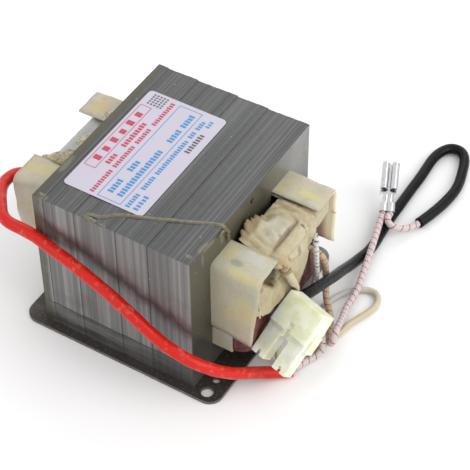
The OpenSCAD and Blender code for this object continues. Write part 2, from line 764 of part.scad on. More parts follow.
base_plate();
closing_bar();
e_core();
primary_winding();
primary_liner_front();
primary_liner_back();
shunt_front();
shunt_back();
heater_winding();
secondary_winding();
secondary_wrap();
slot_liner_front();
slot_liner_back();
lead_cover();
cloth_flap();
label();
varnish_bead();
lead_tie();
cream_sleeve();
red_sleeve();
red_tail();
heater_lead();
black_sleeve();
black_tail();
white_lead();
spade_terminal();
connector_housing();
connector_contacts();
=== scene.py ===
"""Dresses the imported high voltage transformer: leads, windings, sheets, cloth, label and stage."""

import json
import math

import bpy
import numpy as np
from mathutils import Matrix, Vector, noise

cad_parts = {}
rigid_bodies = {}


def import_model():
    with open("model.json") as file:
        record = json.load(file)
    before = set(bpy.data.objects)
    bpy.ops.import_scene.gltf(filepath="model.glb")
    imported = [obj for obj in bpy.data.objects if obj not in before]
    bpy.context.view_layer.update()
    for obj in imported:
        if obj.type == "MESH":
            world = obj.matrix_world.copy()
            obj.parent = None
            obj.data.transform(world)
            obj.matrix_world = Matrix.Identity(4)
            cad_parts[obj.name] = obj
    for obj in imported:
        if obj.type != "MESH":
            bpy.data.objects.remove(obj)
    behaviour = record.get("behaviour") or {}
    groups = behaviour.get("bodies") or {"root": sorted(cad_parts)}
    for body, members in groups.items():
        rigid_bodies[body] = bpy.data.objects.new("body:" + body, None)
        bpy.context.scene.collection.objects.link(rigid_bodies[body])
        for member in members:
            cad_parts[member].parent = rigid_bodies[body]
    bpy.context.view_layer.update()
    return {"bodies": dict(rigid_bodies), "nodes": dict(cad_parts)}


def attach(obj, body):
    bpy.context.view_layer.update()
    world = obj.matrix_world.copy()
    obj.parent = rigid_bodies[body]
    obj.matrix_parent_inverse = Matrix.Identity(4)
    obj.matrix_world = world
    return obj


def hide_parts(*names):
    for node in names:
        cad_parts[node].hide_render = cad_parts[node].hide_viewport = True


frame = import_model()

bl_info = {
    "name": "High voltage transformer",
    "version": (1, 0, 0),
    "blender": (4, 5, 0),
    "location": "3D View > Sidebar > Transformer",
    "description": "Builds the finished look of a laminated high voltage transformer",
    "category": "Object",
}

MM = 0.001
BODY = list(frame["bodies"])[0]

# the camera that took the photograph: place, turns in degrees, lens and sensor
CAMERA_AT = (275.32, -400.87, 540.46)
CAMERA_AROUND, CAMERA_ABOVE, CAMERA_ROLL = 31.651, 46.427, -0.405
CAMERA_LENS, CAMERA_SENSOR = 131.03, 36.0

# levels and half sizes in millimetres, as in the solids
CORE_TOP, SEAM_Z = 73.5, 13.6
WINDOW_TOP, WINDOW_Y, LEG_Y = 60.3, 30.3, 15.3
PRIMARY_Z, PRIMARY_TOP, PRIMARY_X, PRIMARY_R = 14.3, 31.0, 52.5, 7.0
SECONDARY_Z, SECONDARY_TOP, SECONDARY_X, SECONDARY_R = 34.0, 58.9, 52.3, 10.0
COIL_Y, INNER_X, INNER_Y, SECONDARY_INNER = 29.6, 37.0, 16.0, 39.4
END_X, FOLD_R = 57.3, 2.0
# thickness of one core sheet with its lines
SHEET_STEP = 0.5

# routes of the leads in millimetres, the same points as in the solids
CREAM_ROUTE = ((59, -14.6, 57.4), (59.1, -13.2, 54.6), (59.1, -10.8, 49.8), (59.1, -8.4, 44.8), (59, -6.2, 40.4))
WHITE_ROUTE = (
    (58.9, -5.8, 39.7), (58.4, -3.8, 36.8), (58.2, -2.4, 33.6), (57.9, -2.7, 30.8), (56.6, -4, 27.4), (55.6, -5, 23),
    (55, -6.2, 17.5), (55, -8.4, 12.2), (55.6, -11.4, 7.6), (56.9, -14.2, 3.8), (59.4, -15.8, 1.8), (62.2, -14.8, 1.5),
    (64.2, -11.4, 1.5), (65.6, -7.2, 1.5), (69, 0.4, 1.5), (71.6, 7.8, 1.5), (73.2, 15.8, 1.5), (75.6, 22.7, 1.5),
    (77.5, 28.6, 1.5), (77.2, 34.6, 1.5), (73.6, 37.6, 1.5), (68.3, 35.8, 1.5), (64.1, 31.7, 1.5), (60.9, 25.2, 1.5),
    (59.3, 19, 1.6), (57.4, 15.2, 3), (56.2, 14.5, 6.6), (55.9, 15, 10.5), (56, 16.2, 15), (56.5, 17, 19.6),
    (57.2, 16.1, 25), (57.8, 14.5, 31), (58.2, 13.3, 36.6), (58.5, 12.2, 41.9), (58.6, 11.8, 46.3), (58.5, 12, 49.2),
    (58.2, 11.9, 51),
)
HEATER_ROUTE = (
    (45.2, 19, 32.5), (49, 19.4, 32.5), (53, 20, 32.4), (56.4, 20.6, 30.4), (57.4, 22.2, 25.5), (57.4, 23.8, 19),
    (57.2, 24.6, 13), (58.4, 22.8, 8.2), (61, 19.4, 5.4), (64.4, 15.6, 4.4), (67.4, 11, 4.3), (69.9, 6, 4.3),
    (71.8, 2.5, 4.4), (73.3, 0.6, 5.4), (74.3, -0.1, 7.6), (74.4, 1.1, 10), (73.9, 3.8, 11), (72.6, 8.6, 9.2),
    (70.9, 14.6, 6.2), (69, 21.6, 4.2), (68.4, 30, 4.1), (66.8, 38.2, 4.7), (64.6, 47.3, 5.4), (62.4, 56.8, 6.8),
    (59.8, 66, 6.4), (58, 72.6, 6.3), (57.2, 76, 6.9),
)
RED_ROUTE = (
    (-52.6, -17, 47), (-58, -16.2, 48), (-63, -18, 49), (-65.6, -23.4, 50), (-63.6, -31, 51.6), (-57.2, -40, 54),
    (-48.4, -47.8, 55.4), (-38, -48, 54.6), (-29, -48, 52), (-17.4, -49.4, 50), (-6.6, -50, 46.4), (4.2, -50.4, 41.4),
    (14.8, -50.8, 35.5), (24.6, -51.2, 30.4), (34, -51.2, 27.4), (42, -49, 23.6), (47.6, -43.6, 17.6),
    (51.4, -36.6, 11.4), (55.4, -29, 6.4), (60.4, -22.8, 3.2), (66, -17.8, 2.6),
)
RED_TAIL_ROUTE = (
    (65.8, -17.6, 2.8), (66.7, -13.6, 2.2), (67.8, -10.2, 1.7), (69.5, -6.4, 1.6), (70.6, -3.7, 2.4), (70.9, -1.9, 4.4),
    (70.3, -0.9, 6.8), (69.5, -0.8, 9.4), (69.2, -1.4, 12.6), (69.6, -2.4, 17), (70.9, -4.4, 22), (72.6, -7.2, 26.8),
)
BLACK_ROUTE = (
    (59.3, -1.1, 26.9), (59.7, -0.3, 27), (60.2, 1, 27), (60.6, 3.2, 26.3), (60.9, 6.5, 25), (61, 11.7, 22.6),
    (61, 18.4, 19.4), (60.8, 25.8, 15.4), (60.2, 33, 11.4), (60, 41, 7.2), (60.4, 49.6, 4), (61, 59, 2.5),
    (60, 73, 2.5), (59.6, 86, 2.5), (59.4, 98, 2.5), (59.3, 110, 2.5), (58.8, 120, 2.5), (59.8, 127.2, 2.5),
    (63, 132, 2.5), (67.6, 132.4, 2.5), (71.4, 128.2, 2.5), (73.8, 121.4, 2.5), (75.9, 113, 2.5), (76.2, 104, 2.5),
    (74.6, 93, 2.5), (71.8, 82.4, 2.5),
)
BLACK_TAIL_ROUTE = (
    (71.7, 82.2, 2.5), (69.9, 77.8, 2.8), (67.2, 73.8, 4.3), (63.9, 71.7, 6), (61.1, 73, 7), (60.1, 77.2, 7),
)
BEAD_ROUTE = (
    (-12.8, -44.5, 73.3), (-10.8, -42, 73.3), (-6.7, -41.2, 73.3), (-2.4, -37.3, 73.3), (4.5, -34.1, 73.3),
    (13.4, -30.3, 73.3), (24, -25.7, 73.3), (29.2, -23.2, 73.3), (32.7, -21.7, 73.3), (35.4, -20.9, 73.3),
    (36.2, -20.1, 71.8), (36.2, -18.2, 68.3), (36.2, -16.3, 64.8),
)


# ---------------------------------------------------------------- node helpers


class Wire:
    """An output of a shader node, which takes plain arithmetic."""

    def __init__(self, made, key=0):
        self.tree, self.socket = made.id_data, made.outputs[key]

    def calc(self, operation, second=0.0, clamp=False):
        return Wire(add(self.tree, "Math", {0: self, 1: second}, operation=operation, use_clamp=clamp))

    def __add__(self, other):
        return self.calc("ADD", other)

    def __sub__(self, other):
        return self.calc("SUBTRACT", other)

    def __rsub__(self, other):
        return self * -1.0 + other

    def __mul__(self, other):
        return self.calc("MULTIPLY", other)

    def __truediv__(self, other):
        return self.calc("DIVIDE", other)

    def __abs__(self):
        return self.calc("ABSOLUTE")

    def above(self, level):
        return self.calc("GREATER_THAN", level)

    def below(self, level):
        return self.calc("LESS_THAN", level)

    def sine(self):
        return self.calc("SINE")

    def patch(self, low, gain):
        """The part past low, times gain, kept between 0 and 1."""
        return (self - low).calc("MULTIPLY", gain, clamp=True)

    def span(self, start, end):
        """Share of the way from start to end."""
        return self.patch(start, 1.0 / (end - start))

    def vector(self, operation, other=(0, 0, 0), key=0):
        return Wire(add(self.tree, "VectorMath", {0: self, 1: other}, operation=operation), key)

    def parts(self):
        """The three numbers of a vector."""
        made = add(self.tree, "SeparateXYZ", {0: self})
        return [Wire(made, k) for k in range(3)]


def feed(socket, value):
    """Links a wire to an input, or sets the input's own value."""
    if isinstance(value, Wire):
        socket.id_data.links.new(value.socket, socket)
    else:
        socket.default_value = (*value, 1.0) if socket.type == "RGBA" else value


def add(tree, kind, values=None, **settings):
    """Adds a shader node, sets it up, and fills or links its inputs."""
    made = tree.nodes.new("ShaderNode" + kind)
    for name, value in settings.items():
        setattr(made, name, value)
    for key, value in (values or {}).items():
        feed(made.inputs[key], value)
    return made


def mix(amount, first, second):
    """Colour between first and second."""
    return Wire(add(amount.tree, "Mix", {0: amount, 6: first, 7: second}, data_type="RGBA"), 2)


def blend(amount, first, second):
    """Number between first and second."""
    return Wire(add(amount.tree, "Mix", {0: amount, 2: first, 3: second}, data_type="FLOAT"))


def ramp(value, *stops):
    """Colour ramp. Each stop is a place and a grey or a colour."""
    made = add(value.tree, "ValToRGB", {0: value})
    elements = made.color_ramp.elements
    while len(elements) < len(stops):
        elements.new(1.0)
    for element, (place, tone) in zip(elements, stops):
        element.position = place
        element.color = (*np.broadcast_to(tone, 3), 1.0)
    return Wire(made)


def grain(place, size, detail=3.0, rough=0.55, stretch=(1, 1, 1), shift=(0, 0, 0)):
    """Noise with features of about size, in the units of place."""
    moved = place.vector("MULTIPLY", [s / size for s in stretch]).vector("ADD", shift)
    return Wire(add(place.tree, "TexNoise", {"Vector": moved, "Scale": 1.0, "Detail": detail, "Roughness": rough}))


def effect(name, *labels):
    """Turns a function of wires into one that adds its node group to a finish and gives the outputs."""

    def fill():
        tree = bpy.data.node_groups.new(name, "ShaderNodeTree")
        for label in labels:
            kind = "Vector" if label == "Place" else "Float"
            tree.interface.new_socket(label, in_out="INPUT", socket_type="NodeSocket" + kind)
        return tree, tree.nodes.new("NodeGroupInput")

    def wrap(build):
        def use(made, **values):
            tree = bpy.data.node_groups.get(name)
            if tree is None:
                tree, source = fill()
                results = build(*[Wire(source, label) for label in labels])
                for label in results:
                    tree.interface.new_socket(label, in_out="OUTPUT", socket_type="NodeSocketFloat")
                sink = tree.nodes.new("NodeGroupOutput")
                for label, wire in results.items():
                    feed(sink.inputs[label], wire)
            if "Place" in labels:
                values["Place"] = made.place
            placed = add(made.tree, "Group", values, node_tree=tree)
            return {socket.name: Wire(placed, socket.name) for socket in placed.outputs}

        return use

    return wrap


@effect("Varnish film", "Place", "Amount")
def varnish_film(place, amount):
    """Clouds and runs of dried varnish: a mask, a lighter cloud mask and a height."""
    fine = grain(place, 1.6, 3.0, 0.6, shift=(5, 2, 8))
    runs = grain(place, 5.0, 3.0, 0.5, (1, 1, 0.25), (1, 7, 3))
    both = grain(place, 9.0, 4.0, 0.6) * 0.6 + runs * 0.4
    mask = both.patch(blend(1.0 - amount, 0.3, 0.62), 6.0)
    return {"Mask": mask, "Cloud": fine.patch(0.4, 2.2), "Height": mask * 0.6 + fine * 0.4}


@effect("Scattered specks", "Place", "Density", "Size")
def specks(place, density, size):
    """Small scattered grains: a mask of dots of the given share of a cell."""
    cells = {"Vector": place.vector("MULTIPLY", density), "Scale": 1.0, "Randomness": 1.0}
    cells = add(place.tree, "TexVoronoi", cells)
    chosen = Wire(cells, "Color").parts()[0].above(0.72)
    return {"Mask": Wire(cells, "Distance").below(size) * chosen}


@effect("Cloth weave", "Place", "Threads")
def weave_threads(place, threads):
    """Threads of woven cloth in two directions: a height and a tone."""
    x, y, z = place.vector("MULTIPLY", threads).parts()
    both = ((x + z) * math.tau).sine() * 0.5 + (y * math.tau).sine() * 0.5
    return {"Height": both, "Tone": both * 0.5 + 0.5}


@effect("Glass braid", "Turn", "Along", "Pitch", "Width")
def glass_braid(turn, along, pitch, width):
    """Glass braid round a lead, from its turn and its distance along: a height and a tracer."""
    steps = along / pitch
    first, second = [abs(((turn * 6.0 + steps * way) * math.pi).sine()) for way in (2.0, -2.0)]
    thread = abs((turn + steps).calc("FRACT") - 0.5).below(width)
    return {"Height": first * second, "Tracer": thread * second.above(0.32)}


@effect("Stacked sheet edges", "Place")
def sheet_lines(place):
    """Edges of the stacked core sheets along X: tone of each sheet, of bands of sheets, and a height."""
    number = place.parts()[0] / SHEET_STEP
    single = Wire(add(place.tree, "TexWhiteNoise", {"W": number.calc("FLOOR")}, noise_dimensions="1D"))
    tone = single * 0.34 + grain(place, 2.4, 4.0, 0.7, (1, 0.02, 0.02)) * 0.66
    broad = grain(place, 11.0, 2.0, 0.5, (1, 0.12, 0.12), (3, 9, 4))
    return {"Tone": tone, "Bands": broad, "Height": (number * math.tau).sine() * 0.2 + tone}


class Finish:
    """A node material in the making, with its colour so far and its place on the object in millimetres."""

    def __init__(self, name):
        self.material = bpy.data.materials.new(name)
        self.material.use_nodes = True
        self.tree = self.material.node_tree
        self.shader = self.tree.nodes["Principled BSDF"]
        self.place = Wire(add(self.tree, "TexCoord"), "Object").vector("MULTIPLY", [1.0 / MM] * 3)
        self.colour = None

    def grain(self, *sizes, **more):
        return grain(self.place, *sizes, **more)

    def geometry(self, key):
        return Wire(add(self.tree, "NewGeometry"), key)

    def lead(self):
        """Turn round the lead, and distance along it in millimetres."""
        turn, along, _ = Wire(add(self.tree, "UVMap", uv_map="lay")).parts()
        return turn, along * 1000.0

    def over(self, amount, colour):
        """Lays a colour over what is there."""
        self.colour = mix(amount, self.colour, colour)

    def clouds(self, sizes, low, gain, strength, colour, **more):
        """Patches of a colour where the noise is above low."""
        self.over(self.grain(*sizes, **more).patch(low, gain) * strength, colour)

    def creases(self, sizes, width, strength, colour, **more):
        """Thin lines of a colour where the noise is near its middle."""
        self.over(abs(self.grain(*sizes, **more) - 0.5).below(width) * strength, colour)

    def stains_and_shade(self, ragged, marks):
        """Ragged soft spots, stains and painted shade, each with its centre, radii, colour and strength."""
        for centre, radii, colour, strength in marks:
            away = self.place.vector("SUBTRACT", centre).vector("DIVIDE", radii).vector("LENGTH", key="Value")
            away = away + (self.grain(3.0, 4.0, 0.6) - 0.5) * ragged
            self.over(away.patch(1.0, -2.5) * strength, colour)

    def done(self, relief=None, strength=0.4, distance=0.2, **values):
        """Sets or links inputs of the shader, with underscores for spaces, and adds the bump."""
        for key, value in {"Base_Color": self.colour, **values}.items():
            feed(self.shader.inputs[key.replace("_", " ")], value)
        if relief:
            bump = add(self.tree, "Bump", {"Strength": strength, "Distance": distance * MM, "Height": relief})
            feed(self.shader.inputs["Normal"], Wire(bump))
        return self.material


# ---------------------------------------------------------------- finishes


def lamination_finish():
    made = Finish("varnished laminations")
    lines, mottle = sheet_lines(made), varnish_film(made, Amount=0.4)
    x, y, z = made.place.parts()
    ahead, _, upward = made.geometry("Normal").parts()
    end, upward = abs(ahead).above(0.7), upward.above(0.7)
    tone = lines["Tone"] * 0.75 + lines["Bands"] * 0.25
    top = ramp(tone, (0.3, (0.052, 0.053, 0.054)), (0.5, (0.08, 0.081, 0.082)), (0.7, (0.12, 0.121, 0.124)))
    # the sides show broad soft bands of packets, with fine lines between them
    drift = made.grain(12.0, 2.0, 0.5, (1, 0.1, 0.1), (1, 1, 6))
    banded = made.grain(5.5, 2.0, 0.5, (1, 0.03, 0.03), (8, 3, 1)) * 0.66 + lines["Tone"] * 0.34
    banded = banded + (x * (math.tau / 3.3) + drift * 9.0).sine() * 0.05
    side = ramp(banded, (0.36, (0.115, 0.11, 0.107)), (0.5, (0.165, 0.16, 0.155)), (0.64, (0.25, 0.246, 0.243)))
    # the tops are painted darker than the sides: painted shade against the stronger light from above
    made.colour = mix(upward, side, top)
    # a slanted dark maroon band on the sides, below the red sleeve's run: painted shadow and reflection of the red
    # sleeve
    sleeve_shadow_slant = x * 0.40 + z + made.grain(5.0, 4.0, 0.65, (1, 1, 0.35), (2, 2, 9)) * 14.0
    made.over(abs(sleeve_shadow_slant - 55.6).span(6.0, 0.0) * (1.0 - upward) * 0.85, (0.05, 0.026, 0.030))
    # the closing bar below the seam is painted darker with lighter bands, a painted reflection of the dark plate and
    # the pale floor, and darker still towards +X, a painted shadow and reflection of the red sleeve
    reflection_bands = made.grain(3.0, 3.0, 0.6, (0.12, 0.12, 1), (3, 3, 3))
    painted_reflection_below_seam = mix(ramp(reflection_bands, (0.4, 0.0), (0.6, 1.0)), (0.036, 0.034, 0.033), (0.125, 0.115, 0.105))
    painted_reflection_below_seam = mix(x.span(-6.0, 26.0) * 0.7, painted_reflection_below_seam, (0.022, 0.022, 0.024))
    made.over(z.patch(SEAM_Z, -4.0) * 0.8, painted_reflection_below_seam)
    made.over(abs(z - SEAM_Z).below(0.24) * 0.95, (0.016, 0.014, 0.013))
    # maroon clouds where the varnish has run and dried
    made.clouds((22.0, 3.0, 0.6), 0.56, 5.0, 0.35, (0.07, 0.05, 0.045), stretch=(1, 1, 1.5), shift=(4, 1, 2))
    # olive film along the top edge at the far end
    film = (x + made.grain(4.0, 4.0, 0.65, shift=(5, 5, 5)) * 6.0).patch(-29.0, -0.5)
    made.over(film * 0.7, (0.075, 0.068, 0.038))
    smears = (
        ((-26.2, -31.4, 73.5), (1.6, 3.4, 3.0)), ((-31.7, -43.6, 73.5), (2.6, 1.8, 3.0)),
        ((-34.5, -24.0, 73.5), (1.6, 6.0, 2.0)), ((35.5, -34.5, 73.5), (1.4, 4.0, 1.0)),
        ((33.0, -41.0, 73.5), (2.0, 1.2, 1.0)),
    )
    made.stains_and_shade(1.4, [(*smear, (0.19, 0.19, 0.14), 0.55) for smear in smears])
    # the two ends are painted paler towards the back, darker from the top downwards and lighter again at the foot:
    # painted reflection on the glossy sheet faces
    edges, made.colour = made.colour, mix(y.span(8.0, 34.0), (0.078, 0.072, 0.050), (0.24, 0.238, 0.228))
    made.over(z.span(62.0, 20.0), (0.036, 0.031, 0.023))
    made.over(z.span(24.0, 6.0) * 0.6, (0.14, 0.135, 0.125))
    made.over(mottle["Cloud"] * 0.15, (0.16, 0.155, 0.13))
    smears = (
        ((36, -31.5, 72.0), (2, 4.5, 1.5)), ((36, -36.0, 68.0), (2, 0.9, 5.0)), ((36, -22.0, 68.5), (2, 1.2, 4.5)),
    )
    made.stains_and_shade(1.2, [(*smear, (0.21, 0.20, 0.155), 0.6) for smear in smears])
    made.over(mottle["Mask"] * 0.22, (0.06, 0.05, 0.03))
    made.colour = mix(end, edges, made.colour)
    made.over(specks(made, Density=0.22, Size=0.085)["Mask"] * 0.6, (0.3, 0.29, 0.27))
    relief = lines["Height"] * (1.0 - end) + mottle["Height"] * 0.35
    rough = blend(end, blend(tone, 0.46, 0.32), blend(mottle["Cloud"], 0.3, 0.42))
    return made.done(relief, 0.4, 0.1, Metallic=blend(end, 0.4, 0.2), Roughness=rough,
                     Coat_Weight=mottle["Cloud"] * 0.3, Coat_Roughness=0.18)


def plate_finish(colours):
    made = Finish("varnished plate steel")
    film = varnish_film(made, Amount=0.45)
    made.colour = mix(film["Cloud"], colours.plate, (0.075, 0.066, 0.058))
    made.over(film["Mask"] * 0.4, (0.05, 0.03, 0.024))
    made.over(abs(made.geometry("Normal").parts()[2]).below(0.6) * 0.5, (0.14, 0.12, 0.1))
    made.over(specks(made, Density=0.35, Size=0.07)["Mask"] * 0.4, (0.3, 0.27, 0.24))
    rough = blend(film["Cloud"], 0.2, 0.36)
    return made.done(film["Height"], 0.25, 0.15, Metallic=0.3, Roughness=rough,
                     Coat_Weight=film["Mask"], Coat_Roughness=0.1)


def wire_finish(colours):
    made = Finish("enamelled wire")
    broad = made.grain(14.0, 3.0, 0.6, shift=(2, 2, 2))
    made.colour = mix(made.grain(1.0, 2.0, 0.5, (0.2, 0.2, 3.0)), colours.wire, (0.17, 0.034, 0.022))
    made.over(broad * 0.5, (0.05, 0.012, 0.012))
    rough = blend(broad, 0.2, 0.34)
    return made.done(broad, 0.1, 0.2, Metallic=0.35, Roughness=rough, Coat_Weight=0.4, Coat_Roughness=0.12)


def sheet_finish(colours):
    made = Finish("insulating sheet")
    film = varnish_film(made, Amount=0.42)
    made.colour = mix(film["Cloud"], colours.sheet, (0.42, 0.41, 0.345))
    made.clouds((13.0, 4.0, 0.62), 0.5, 5.0, 0.62, (0.50, 0.42, 0.18), shift=(3, 8, 5))
    made.clouds((9.0, 4.0, 0.65), 0.54, 6.0, 0.5, (0.43, 0.44, 0.415), stretch=(1, 1, 0.6), shift=(7, 3, 2))
    made.clouds((3.4, 4.0, 0.6), 0.57, 7.0, 0.35, (0.40, 0.31, 0.13), stretch=(1, 1, 0.18), shift=(1, 2, 8))
    made.clouds((7.0, 4.0, 0.7), 0.56, 5.0, 0.42, (0.25, 0.24, 0.19), shift=(9, 1, 1))
    made.creases((4.0, 5.0, 0.75), 0.012, 0.22, (0.22, 0.17, 0.09), shift=(2, 6, 7))
    # the leaf that hangs free at the back is painted paler: a painted glow of the light shining through it
    x, y, _ = made.place.parts()
    painted_backlight_leaf = x.patch(51.0, 0.35) * y.above(27.0) * made.geometry("Normal").parts()[2].below(0.5)
    made.over(painted_backlight_leaf * 0.85, (0.96, 0.92, 0.69))
    made.stains_and_shade(0.9, (
        # dark brown where the front sheet's flap bends in: painted shade
        ((54.6, -18.6, 53.6), (3.4, 5.6, 6.4), (0.22, 0.16, 0.085), 0.85),
        ((44.0, -24.5, 60.3), (4.0, 2.4, 2.0), (0.25, 0.26, 0.18), 0.75),
        ((50.0, -29.0, 60.0), (9.0, 2.6, 2.4), (0.52, 0.45, 0.19), 0.6),
        ((40.0, -21.0, 60.3), (4.0, 5.0, 2.0), (0.50, 0.44, 0.20), 0.6),
        ((48.0, -20.0, 60.3), (8.0, 5.0, 2.0), (0.46, 0.47, 0.45), 0.55),
        ((50.0, 21.0, 60.3), (7.0, 2.2, 2.0), (0.54, 0.47, 0.18), 0.65),
        ((-48.0, -21.0, 60.3), (7.0, 4.0, 2.0), (0.52, 0.46, 0.22), 0.6),
        ((-51.0, 22.0, 60.3), (4.0, 6.0, 3.0), (0.50, 0.40, 0.16), 0.6),
    ))
    made.stains_and_shade(0.3, [((57.2, 23.5, 47.0), (3.0, 9.0, 1.0), (0.2, 0.15, 0.07), 1.0)])
    mask, relief = film["Mask"], film["Height"] + made.grain(3.0) * 0.8
    return made.done(relief, 0.35, 0.35, Roughness=blend(mask, 0.5, 0.26), Coat_Weight=mask * 0.4, Coat_Roughness=0.2,
                     Subsurface_Weight=0.25, Subsurface_Scale=0.003)


def cloth_finish(colours, name="varnished cloth", ground=None, pale=(0.42, 0.375, 0.26), dark=0.42, marks=()):
    """Cloth soaked in varnish. marks are stains and painted shade: centre, radii, colour and strength."""
    made = Finish(name)
    film, weave = varnish_film(made, Amount=0.5), weave_threads(made, Threads=1.3)
    made.colour = mix(film["Cloud"], ground or colours.cloth, pale)
    made.clouds((8.0, 5.0, 0.7), 0.53, 6.0, dark, (0.30, 0.20, 0.095), shift=(6, 2, 9))
    made.clouds((6.0, 3.0, 0.6), 0.55, 6.0, 0.3, (0.46, 0.45, 0.39), shift=(1, 5, 2))
    made.creases((5.0, 5.0, 0.7), 0.01, 0.3, (0.25, 0.17, 0.09), shift=(7, 6, 3))
    made.stains_and_shade(0.5, marks)
    # hollows and folds are painted darker: painted shade
    made.over(ramp(made.geometry("Pointiness"), (0.44, 1.0), (0.5, 0.0)) * 0.5, (0.19, 0.12, 0.055))
    made.over(weave["Tone"] * 0.07, (0.2, 0.16, 0.1))
    relief = film["Height"] + weave["Height"] * 0.25 + made.grain(2.2, 4.0, 0.6) * 0.7
    rough, coat = blend(film["Mask"], 0.48, 0.28), blend(film["Mask"], 0.15, 0.5)
    return made.done(relief, 0.45, 0.35, Roughness=rough, Coat_Weight=coat, Coat_Roughness=0.22,
                     Subsurface_Weight=0.06, Subsurface_Scale=0.002)


def print_finish(name, colour):
    made = Finish(name)
    wear = made.grain(0.7, 3.0, 0.6)
    made.colour = mix(wear * 0.12, colour, (0.5, 0.47, 0.54))
    return made.done(Roughness=blend(wear, 0.38, 0.5))


def label_finish(colours):
    made = Finish("label paper")
    fine = made.grain(1.1, 4.0, 0.6)
    made.colour = mix(made.grain(20.0, 2.0, 0.5), colours.label, (0.455, 0.43, 0.51))
    made.over(fine * 0.12, (0.36, 0.34, 0.36))
    return made.done(fine, 0.08, 0.05, Roughness=blend(fine, 0.36, 0.5))


def varnish_finish(name, pale, deep, glow=0.0):
    made = Finish(name)
    fine = made.grain(1.3, 4.0, 0.65)
    made.colour = ramp(fine, (0.36, deep), (0.62, pale), (0.78, [c * 1.35 for c in pale]))
    rough = blend(fine, 0.14, 0.34)
    return made.done(fine, 0.4, 0.2, Roughness=rough, Coat_Weight=fine, Coat_Roughness=0.1, Subsurface_Weight=glow)


def sleeving_finish(name, colour, worn, wear, rough, shine):
    made = Finish(name)
    _, along = made.lead()
    scrape = made.grain(3.5, 5.0, 0.7).patch(0.54, 7.0)
    fine = made.grain(0.8, 3.0, 0.6, shift=(4, 4, 1))
    made.colour = mix(scrape * wear, colour, worn)
    made.over(fine * 0.25, [c * 0.45 for c in colour])
    relief = fine + (along * (math.tau / 0.9)).sine() * 0.12 - scrape * 0.8
    return made.done(relief, 0.35, 0.2, Roughness=blend(scrape, *rough), Specular_IOR_Level=shine)


def braid_finish(name, stops, length, tracer=(0.22, 0.03, 0.05), pitch=3.7, width=0.075):
    """Braid whose ground colour changes along the lead, with a thin coloured thread."""
    made = Finish(name)
    turn, along = made.lead()
    braid = glass_braid(made, Turn=turn, Along=along, Pitch=pitch, Width=width)
    made.colour = ramp(along / length, *stops)
    # the low places between the threads are painted darker: painted shade
    made.over((1.0 - braid["Height"]) * 0.3, (0.36, 0.28, 0.26))
    made.clouds((2.6, 4.0, 0.65), 0.52, 4.0, 0.3, (0.62, 0.57, 0.55))
    made.over(braid["Tracer"], ramp(along / length, *tracer) if isinstance(tracer, list) else tracer)
    return made.done(braid["Height"], 0.6, 0.22, Roughness=blend(braid["Height"], 0.62, 0.42), Sheen_Weight=0.15)


def silicone_finish(name, stops, length, dotted):
    """Smooth silicone lead, with its colour along the length and a dotted stretch."""
    made = Finish(name)
    turn, along = made.lead()
    share = along / length
    soil = made.grain(3.0, 4.0, 0.6)
    braid = glass_braid(made, Turn=turn, Along=along, Pitch=2.9, Width=0.2)
    dots = braid["Tracer"] * made.grain(0.75, 2.0, 0.5, shift=(3, 1, 4)).above(0.5)
    inside = share.above(dotted[0]) * share.below(dotted[1])
    made.colour = ramp(share, *stops)
    made.over(soil * 0.22, (0.4, 0.37, 0.33))
    made.over(inside, mix(dots, (0.62, 0.60, 0.58), (0.02, 0.017, 0.017)))
    rough = blend(soil, 0.36, 0.5)
    return made.done(braid["Height"] * inside + soil, 0.25, 0.15, Roughness=rough,
                     Subsurface_Weight=0.12, Subsurface_Scale=0.002)


def tin_finish():
    made = Finish("bright tin")
    fine = made.grain(0.5, 3.0, 0.6, (1, 0.25, 1))
    made.colour = mix(fine, (0.58, 0.58, 0.60), (0.78, 0.78, 0.79))
    made.clouds((2.2, 4.0, 0.7), 0.55, 6.0, 0.5, (0.42, 0.36, 0.32), shift=(4, 1, 7))
    return made.done(fine, 0.15, 0.08, Metallic=1.0, Roughness=blend(fine, 0.1, 0.22))


def nylon_finish(colours):
    made = Finish("natural nylon")
    fine = made.grain(0.6, 3.0, 0.6)
    made.colour = mix(ramp(made.grain(5.5, 3.0, 0.5), (0.42, 0.0), (0.6, 1.0)), colours.nylon, (0.68, 0.70, 0.48))
    made.over(fine * 0.12, (0.86, 0.87, 0.74))
    return made.done(fine, 0.08, 0.06, Roughness=blend(fine, 0.26, 0.38), Coat_Weight=0.15,
                     Subsurface_Weight=0.45, Subsurface_Scale=0.004, Subsurface_Radius=(1.0, 1.0, 0.5))


def string_finish():
    made = Finish("tie string")
    fine = made.grain(0.5, 3.0, 0.6)
    made.colour = mix(fine, (0.20, 0.13, 0.055), (0.42, 0.32, 0.17))
    return made.done(fine, 0.5, 0.2, Roughness=blend(fine, 0.5, 0.7))


def floor_finish():
    made = Finish("pale paper floor")
    made.colour = mix(made.grain(400.0, 2.0, 0.5), (0.88, 0.88, 0.88), (0.85, 0.85, 0.85))
    return made.done(Roughness=0.85)


# ---------------------------------------------------------------- mesh helpers


def ripple(*place):
    """Smooth noise at a place."""
    return noise.noise(Vector(place))


def turbulent(x, y, z, octaves=3):
    return noise.fractal(Vector((x, y, z)), 0.6, 2.0, octaves)


def smoothstep(low, high, value):
    share = min(1.0, max(0.0, (value - low) / (high - low)))
    return share * share * (3 - 2 * share)


def at(table, place):
    """Value of a table of pairs at a place between them."""
    return float(np.interp(place, *zip(*table)))


def between(points, place):
    """Point of a line at a place that is counted in its points."""
    return np.array([np.interp(place, range(len(points)), part) for part in zip(*points)])


def distances(points, power=1.0):
    """Distance along a line, at each of its points."""
    return np.concatenate(([0.0], np.cumsum(np.linalg.norm(np.diff(points, axis=0), axis=1) ** power)))


